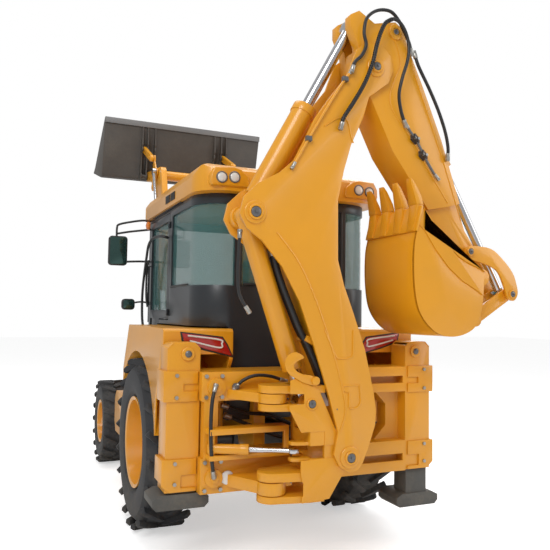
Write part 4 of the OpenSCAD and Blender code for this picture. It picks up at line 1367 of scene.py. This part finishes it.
@dataclass
class Cab:
    """Dressing of the cab: lamp pods, trims, handles, wiper, mirrors and side lamps."""

    pod: Sequence[Flat] = (
        (735, 2812), (433, 2812), (425, 2835), (440, 2900), (500, 2950), (560, 2966), (713, 2952),
        (742, 2900), (745, 2840),
    )
    mirror_tubes: Sequence[Sequence[Point]] = (
        [
            (1128, 1000, 2560), (1128, 1000, 2687), (1106, 1000, 2724), (1000, 1000, 2755),
            (872, 995, 2780), (782, 985, 2778),
        ],
        [(1122, 1000, 2628), (1000, 1000, 2655), (856, 995, 2679), (785, 985, 2690)],
        [(1128, 1000, 2330), (1000, 1000, 2345), (880, 995, 2352), (785, 985, 2352)],
    )
    grab_rail: Sequence[Point] = (
        (800, 124, 2510), (860, 134, 2523), (862, 451, 2543), (862, 678, 2503), (862, 783, 2371),
        (862, 931, 2052), (862, 914, 1760), (862, 774, 1640), (862, 621, 1605), (800, 614, 1600),
    )
    mirror_boxes: Sequence[tuple[float, ...]] = ((1016, 1204, 2303, 2605, 1000), (930, 1060, 1850, 1962, 972))
    corner: float = 34.0

    def pods(self) -> None:
        """Add the rear lamp pods at the roof's corners and the lamps at both ends."""
        pod, ring, lens = (Form(f"roof_lamp_{word}") for word in ("pods", "rings", "lenses"))
        for side in SIDES:
            pod.prism(flip(self.pod, side), Axis.Y, -968, -880)
            for x, z in ((660, 2875), (556, 2884)):
                at = (side * x, -966, z)
                ring.turned(at, REARWARDS, [(-4, 46), (8, 46), (12, 42), (12, 37), (-4, 37)], 36)
                lens.turned(at, REARWARDS, [(-2, 38), (6, 38), (12, 30), (15, 12)], 36)
            for x in (470, 600):
                at = (side * x, 1152, 2812)
                ring.turned(at, (0, 1, 0), [(-4, 40), (18, 40), (22, 36), (22, 32), (-4, 32)], 36)
                lens.turned(at, (0, 1, 0), [(-2, 33), (16, 33), (21, 26), (24, 10)], 36)
        pod.fit("machine", Slot.YELLOW, 10.0, segments=3)
        ring.fit("machine", Slot.STEEL, 1.0)
        lens.fit("machine", Slot.LAMP_CLEAR, 0.0, ["roof_lamps"])

    def trims(self) -> None:
        """Add the window rubbers, the band under the roof, the handles, the wiper and the vents."""
        form = Form("cab_trims")
        vent = Repeat("roof_vent_slats", Stamp.SLAT, 8.0, 150.0, 8.0)
        for side in SIDES:
            for points, radius, sides, steps in (
                ([(455, -853, 2062), (455, -853, 2400), (455, -853, 2700)], 12.0, 8, 2),
                ([(794, -540, 2060), (794, -100, 2060), (794, 30, 2060)], 9.0, 8, 2),
                ([(818, 880, 1880), (834, 884, 2000), (834, 884, 2240), (818, 880, 2360)], 11.0, 10, 5),
            ):
                form.pipe(flip(points, side), radius, sides, steps)
            low, high = sorted((side * 785, side * 806))
            form.box((low, -300, 2772), (high, 780, 2788))
            vent.add_all([(side * 832, y, 2822 + 12 * i) for i in range(6) for y in (-120, 60)], (0, 0, 1))
        form.pipe([(-430, -858, 2062), (0, -860, 2062), (430, -858, 2062)], 12.0, 8, 3)
        form.pipe([(60, -862, 2690), (20, -872, 2560), (-60, -870, 2330), (-110, -866, 2230)], 6.5, 8, 5)
        form.box((20, -878, 2660), (110, -850, 2705))
        form.fit("machine", Slot.PLASTIC, 2.0)
        vent.fit("machine", Slot.PLASTIC)

    def mirror_outline(self, side: int, box: Sequence[float], inset: float) -> list[Flat]:
        """Rounded outline of a mirror.

        Args:
            side: Side of the machine.
            box: Its inner, outer, lower and upper edge.
            inset: How far the outline lies inside those.

        Returns:
            The outline.
        """
        r = self.corner - inset
        a, b, c, d = box[0] + inset + r, box[1] - inset - r, box[2] + inset + r, box[3] - inset - r
        return [
            (side * (x + r * math.cos(t)), z + r * math.sin(t))
            for x, z, start in ((b, d, 0.0), (a, d, 0.5), (a, c, 1.0), (b, c, 1.5))
            for t in (math.pi * (start + 0.1 * k) for k in range(6))
        ]

    def mirrors(self) -> None:
        """Add the mirrors on their bent tubes, the doors' grab rails and the amber side lamps."""
        arms, heads, glass = (Form(f"mirror_{word}") for word in ("arms", "heads", "glass"))
        amber = Form("amber_side_lamps")
        for side, word, door in zip(SIDES, ("left", "right"), ("door_l", "door_r")):
            for run in self.mirror_tubes:
                arms.pipe(flip(run, side), 11.0, 10, 5)
            grab = Form(f"grab_rail_{word}")
            grab.pipe(flip(self.grab_rail, side), 13.0, 10, 5)
            grab.fit(door, Slot.PLASTIC)
            arms.pipe(flip([(785, 972, 1925), (871, 972, 1933), (960, 972, 1920)], side), 9.0, 10, 4)
            for *box, y in self.mirror_boxes:
                heads.prism(self.mirror_outline(side, box, 0), Axis.Y, y - 8, y + 52)
                glass.prism(self.mirror_outline(side, box, 12), Axis.Y, y - 11, y - 6)
            amber.turned((side * 822, 930, 2721), (side, 0, 0), [(-14, 42), (6, 42), (16, 36), (24, 14)], 32)
        arms.fit("machine", Slot.PLASTIC)
        heads.fit("machine", Slot.PLASTIC, 9.0, ["mirrors"], 3)
        # The mirror glass's dark green colour is a painted reflection.
        glass.fit("machine", Slot.MIRROR, 0.5)
        amber.fit("machine", Slot.AMBER, 1.0)

    def fit(self) -> None:
        """Dress the cab."""
        self.pods()
        self.trims()
        self.mirrors()


@dataclass
class Seat:
    """The driver's seat, as two crowned cushions."""

    crown: float = 14.0
    pinch: float = 0.06

    def cushion(self, name: str, low: Point, high: Point) -> bpy.types.Object:
        """Build one crowned cushion, pulled in between its corners.

        Args:
            name: The piece's name.
            low: Lowest corner, in millimetres.
            high: Highest corner.

        Returns:
            The cushion.
        """
        shape = bmesh.new()
        bmesh.ops.create_cube(shape, size=1.0)
        bmesh.ops.subdivide_edges(shape, edges=shape.edges, cuts=11, use_grid_fill=True)
        middle = (Vector(low) + Vector(high)) / 2
        span = (Vector(high) - Vector(low)) / 2
        for vert in shape.verts:
            unit = vert.co * 2.0
            turns = [(unit[i], unit[(i + 1) % 3], unit[(i + 2) % 3]) for i in range(3)]
            pull = Vector([1.0 - self.pinch * (1.0 - u * u) * max(abs(v), abs(w)) ** 4 for u, v, w in turns])
            swell = Vector([u * self.crown * (1 - v * v) * (1 - w * w) for u, v, w in turns])
            place = Vector(
                [unit[i] * (span[i] - self.crown) * pull[(i + 1) % 3] * pull[(i + 2) % 3] for i in range(3)]
            )
            vert.co = (middle + place + swell) * MM
        mesh = bpy.data.meshes.new(name)
        shape.to_mesh(mesh)
        shape.free()
        made = mesh_object(name, mesh, FINISHES[Slot.SEAT].build())
        soft = made.modifiers.new("Soften", "SUBSURF")
        soft.levels = soft.render_levels = 2
        bake(made, 70.0)
        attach(made, "machine")
        Slot.SEAT.recorded
        return made

    def fit(self) -> None:
        """Build the base and the back."""
        base = self.cushion("seat_base_cushion", (-243, -28, 1332), (243, 438, 1458))
        self.cushion("seat_back_cushion", (-233, -128, 1462), (233, -12, 2078))
        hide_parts("seat_cushions")


@dataclass
class Front:
    """Dressing of the hood and the loader: head lamps, louvres and the bucket's top strip."""

    lamp_reach: Flat = (308, 376)
    louvres: int = 14
    louvre_gap: float = 42
    strip: Sequence[Flat] = ((2596, 4252), (2592, 4322), (2612, 4330), (2616, 4256))
    strip_half: float = 1062

    def fit(self) -> None:
        """Dress the front end."""
        body, lens = Form("head_lamp_bodies"), Form("head_lamp_lenses")
        slats = Repeat("hood_louvres", Stamp.SLAT, 5.0, 16.0, 190.0)
        for side in SIDES:
            low, high = sorted(side * reach for reach in self.lamp_reach)
            body.box((low, 3046, 1120), (high, 3062, 1290))
            lens.box((low + 8, 3056, 1132), (high - 8, 3067, 1278))
            rows = [(side * 386, 1560 + self.louvre_gap * i, 1290) for i in range(self.louvres)]
            slats.add_all(rows, (0, 0, 1))
        body.fit("hood_body", Slot.PLASTIC, 4.0)
        lens.fit("hood_body", Slot.LAMP_CLEAR, 4.0)
        slats.fit("hood_body", Slot.PLASTIC)
        strip = Form("loader_bucket_strip")
        strip.prism(self.strip, Axis.X, -self.strip_half, self.strip_half)
        strip.fit("front_bucket", Slot.PALE, 2.0)


@dataclass
class Wheels:
    """Dressing of the wheels: a hub cap and a valve on each."""

    hubs: Sequence[tuple[str, float, float, float, float]] = (
        ("rear", 0, 715, 950, 86),
        ("front", 2480, 490, 985, 56),
    )

    def fit(self) -> None:
        """Add one piece to each wheel."""
        for side, word in zip(SIDES, ("left", "right")):
            for end, y, z, face, r in self.hubs:
                form = Form(f"{end}_hub_cap_{word}")
                profile = [(-30, r * 0.9), (0, r * 0.9), (14, r * 0.8), (20, r * 0.5), (22, r * 0.2)]
                form.turned((side * face, y, z), (side, 0, 0), profile, 40)
                stem = (side * (face - 60), y, z + r * 3.2)
                form.turned(stem, (side, 0, -0.15), [(0, 7), (60, 6), (64, 4)], 12)
                form.fit(f"{end}_wheel_{word}", Slot.YELLOW, 2.0)


@dataclass(frozen=True)
class Studio:
    """Camera, floor, lamps and world."""

    camera_at: Point = (-2.1555, -5.4966, 1.8313)
    yaw: float = 0.407
    pitch: float = 0.0619
    roll: float = 0.0149
    focal_px: float = 625.0
    floor_half: float = 40.0
    lamps: Sequence[tuple[str, Point, Point, float, float]] = (
        ("Key", (-6.0, -7.5, 8.0), (0.0, 0.0, 1.6), 5.0, 470.0),
        ("Fill", (7.0, -5.0, 5.0), (0.0, 0.0, 1.6), 6.0, 170.0),
        ("Top", (0.0, 1.0, 10.0), (0.0, 0.5, 0.0), 7.0, 330.0),
        ("Front", (5.5, 8.5, 6.0), (0.0, 1.0, 1.5), 6.0, 330.0),
    )

    def camera(self) -> None:
        """Place the camera where the photograph was taken."""
        level = math.cos(self.pitch)
        ahead = Vector((math.sin(self.yaw) * level, math.cos(self.yaw) * level, math.sin(self.pitch)))
        right = Vector((math.cos(self.yaw), -math.sin(self.yaw), 0.0))
        above = right.cross(ahead)
        turn, lean = math.cos(self.roll), math.sin(self.roll)
        right, above = turn * right + lean * above, -lean * right + turn * above
        data = bpy.data.cameras.new("Camera")
        data.sensor_width = SENSOR_MM
        data.lens = self.focal_px * SENSOR_MM / IMAGE_PX
        data.clip_end = 200.0
        camera = bpy.data.objects.new("Camera", data)
        bpy.context.scene.collection.objects.link(camera)
        pose = Matrix((right, above, -ahead)).transposed().to_4x4()
        pose.translation = Vector(self.camera_at)
        camera.matrix_world = pose
        bpy.context.scene.camera = camera

    def light(self) -> None:
        """Hang the soft area lamps: name, place, the point it faces, width and power of each."""
        for name, at, aim, size, watts in self.lamps:
            data = bpy.data.lights.new(name, "AREA")
            data.shape = "DISK"
            data.size = size
            data.energy = watts
            lamp = bpy.data.objects.new(name, data)
            bpy.context.scene.collection.objects.link(lamp)
            lamp.location = at
            lamp.rotation_euler = (Vector(aim) - Vector(at)).to_track_quat("-Z", "Y").to_euler()

    def world(self) -> None:
        """White to the camera and through glass, a soft level for the rest."""
        world = bpy.data.worlds.new("Studio")
        bpy.context.scene.world = world
        world.use_nodes = True
        sheet = NodeSheet(world.node_tree)
        back = world.node_tree.nodes["Background"]
        path = sheet.add("ShaderNodeLightPath")
        seen = sheet.math("MAXIMUM", path.outputs["Is Camera Ray"], path.outputs["Is Transmission Ray"])
        back.inputs["Color"].default_value = WHITE
        sheet.link((sheet.remap(seen, 0.0, 1.0, 0.50, 1.0), back.inputs["Strength"]))

    def floor(self) -> None:
        """Lay the plain pale floor."""
        mesh = bpy.data.meshes.new("Floor")
        half = self.floor_half
        corners = [(-half, -half, 0.0), (half, -half, 0.0), (half, half, 0.0), (-half, half, 0.0)]
        mesh.from_pydata(corners, [], [(0, 1, 2, 3)])
        material, sheet, shader = new_material("FloorPale")
        fill(shader, {"Base Color": (0.9, 0.9, 0.9, 1.0), "Roughness": 0.9, "Emission Color": WHITE})
        seen = sheet.add("ShaderNodeLightPath").outputs["Is Camera Ray"]
        sheet.link((sheet.math("MULTIPLY", seen, 0.5), shader.inputs["Emission Strength"]))
        mesh_object("Floor", mesh, material)

    def build(self) -> None:
        """Set up the whole studio."""
        self.camera()
        self.world()
        self.floor()
        self.light()
        bpy.context.scene.view_settings.view_transform = "Standard"


DRESSINGS = (
    Boom, Dipper, DiggerBucket, TippingLever, Kingpost, StabiliserFrame, TailLamps, Cab, Seat, Front, Wheels,
)


def main() -> None:
    """Load the frame, dress it and finish the scene."""
    logging.basicConfig(level=logging.INFO, format="%(message)s")
    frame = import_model()
    Studio().build()
    NodeDresser().dress(frame)
    for dressing in DRESSINGS:
        dressing().fit()


if __name__ == "__main__":
    main()
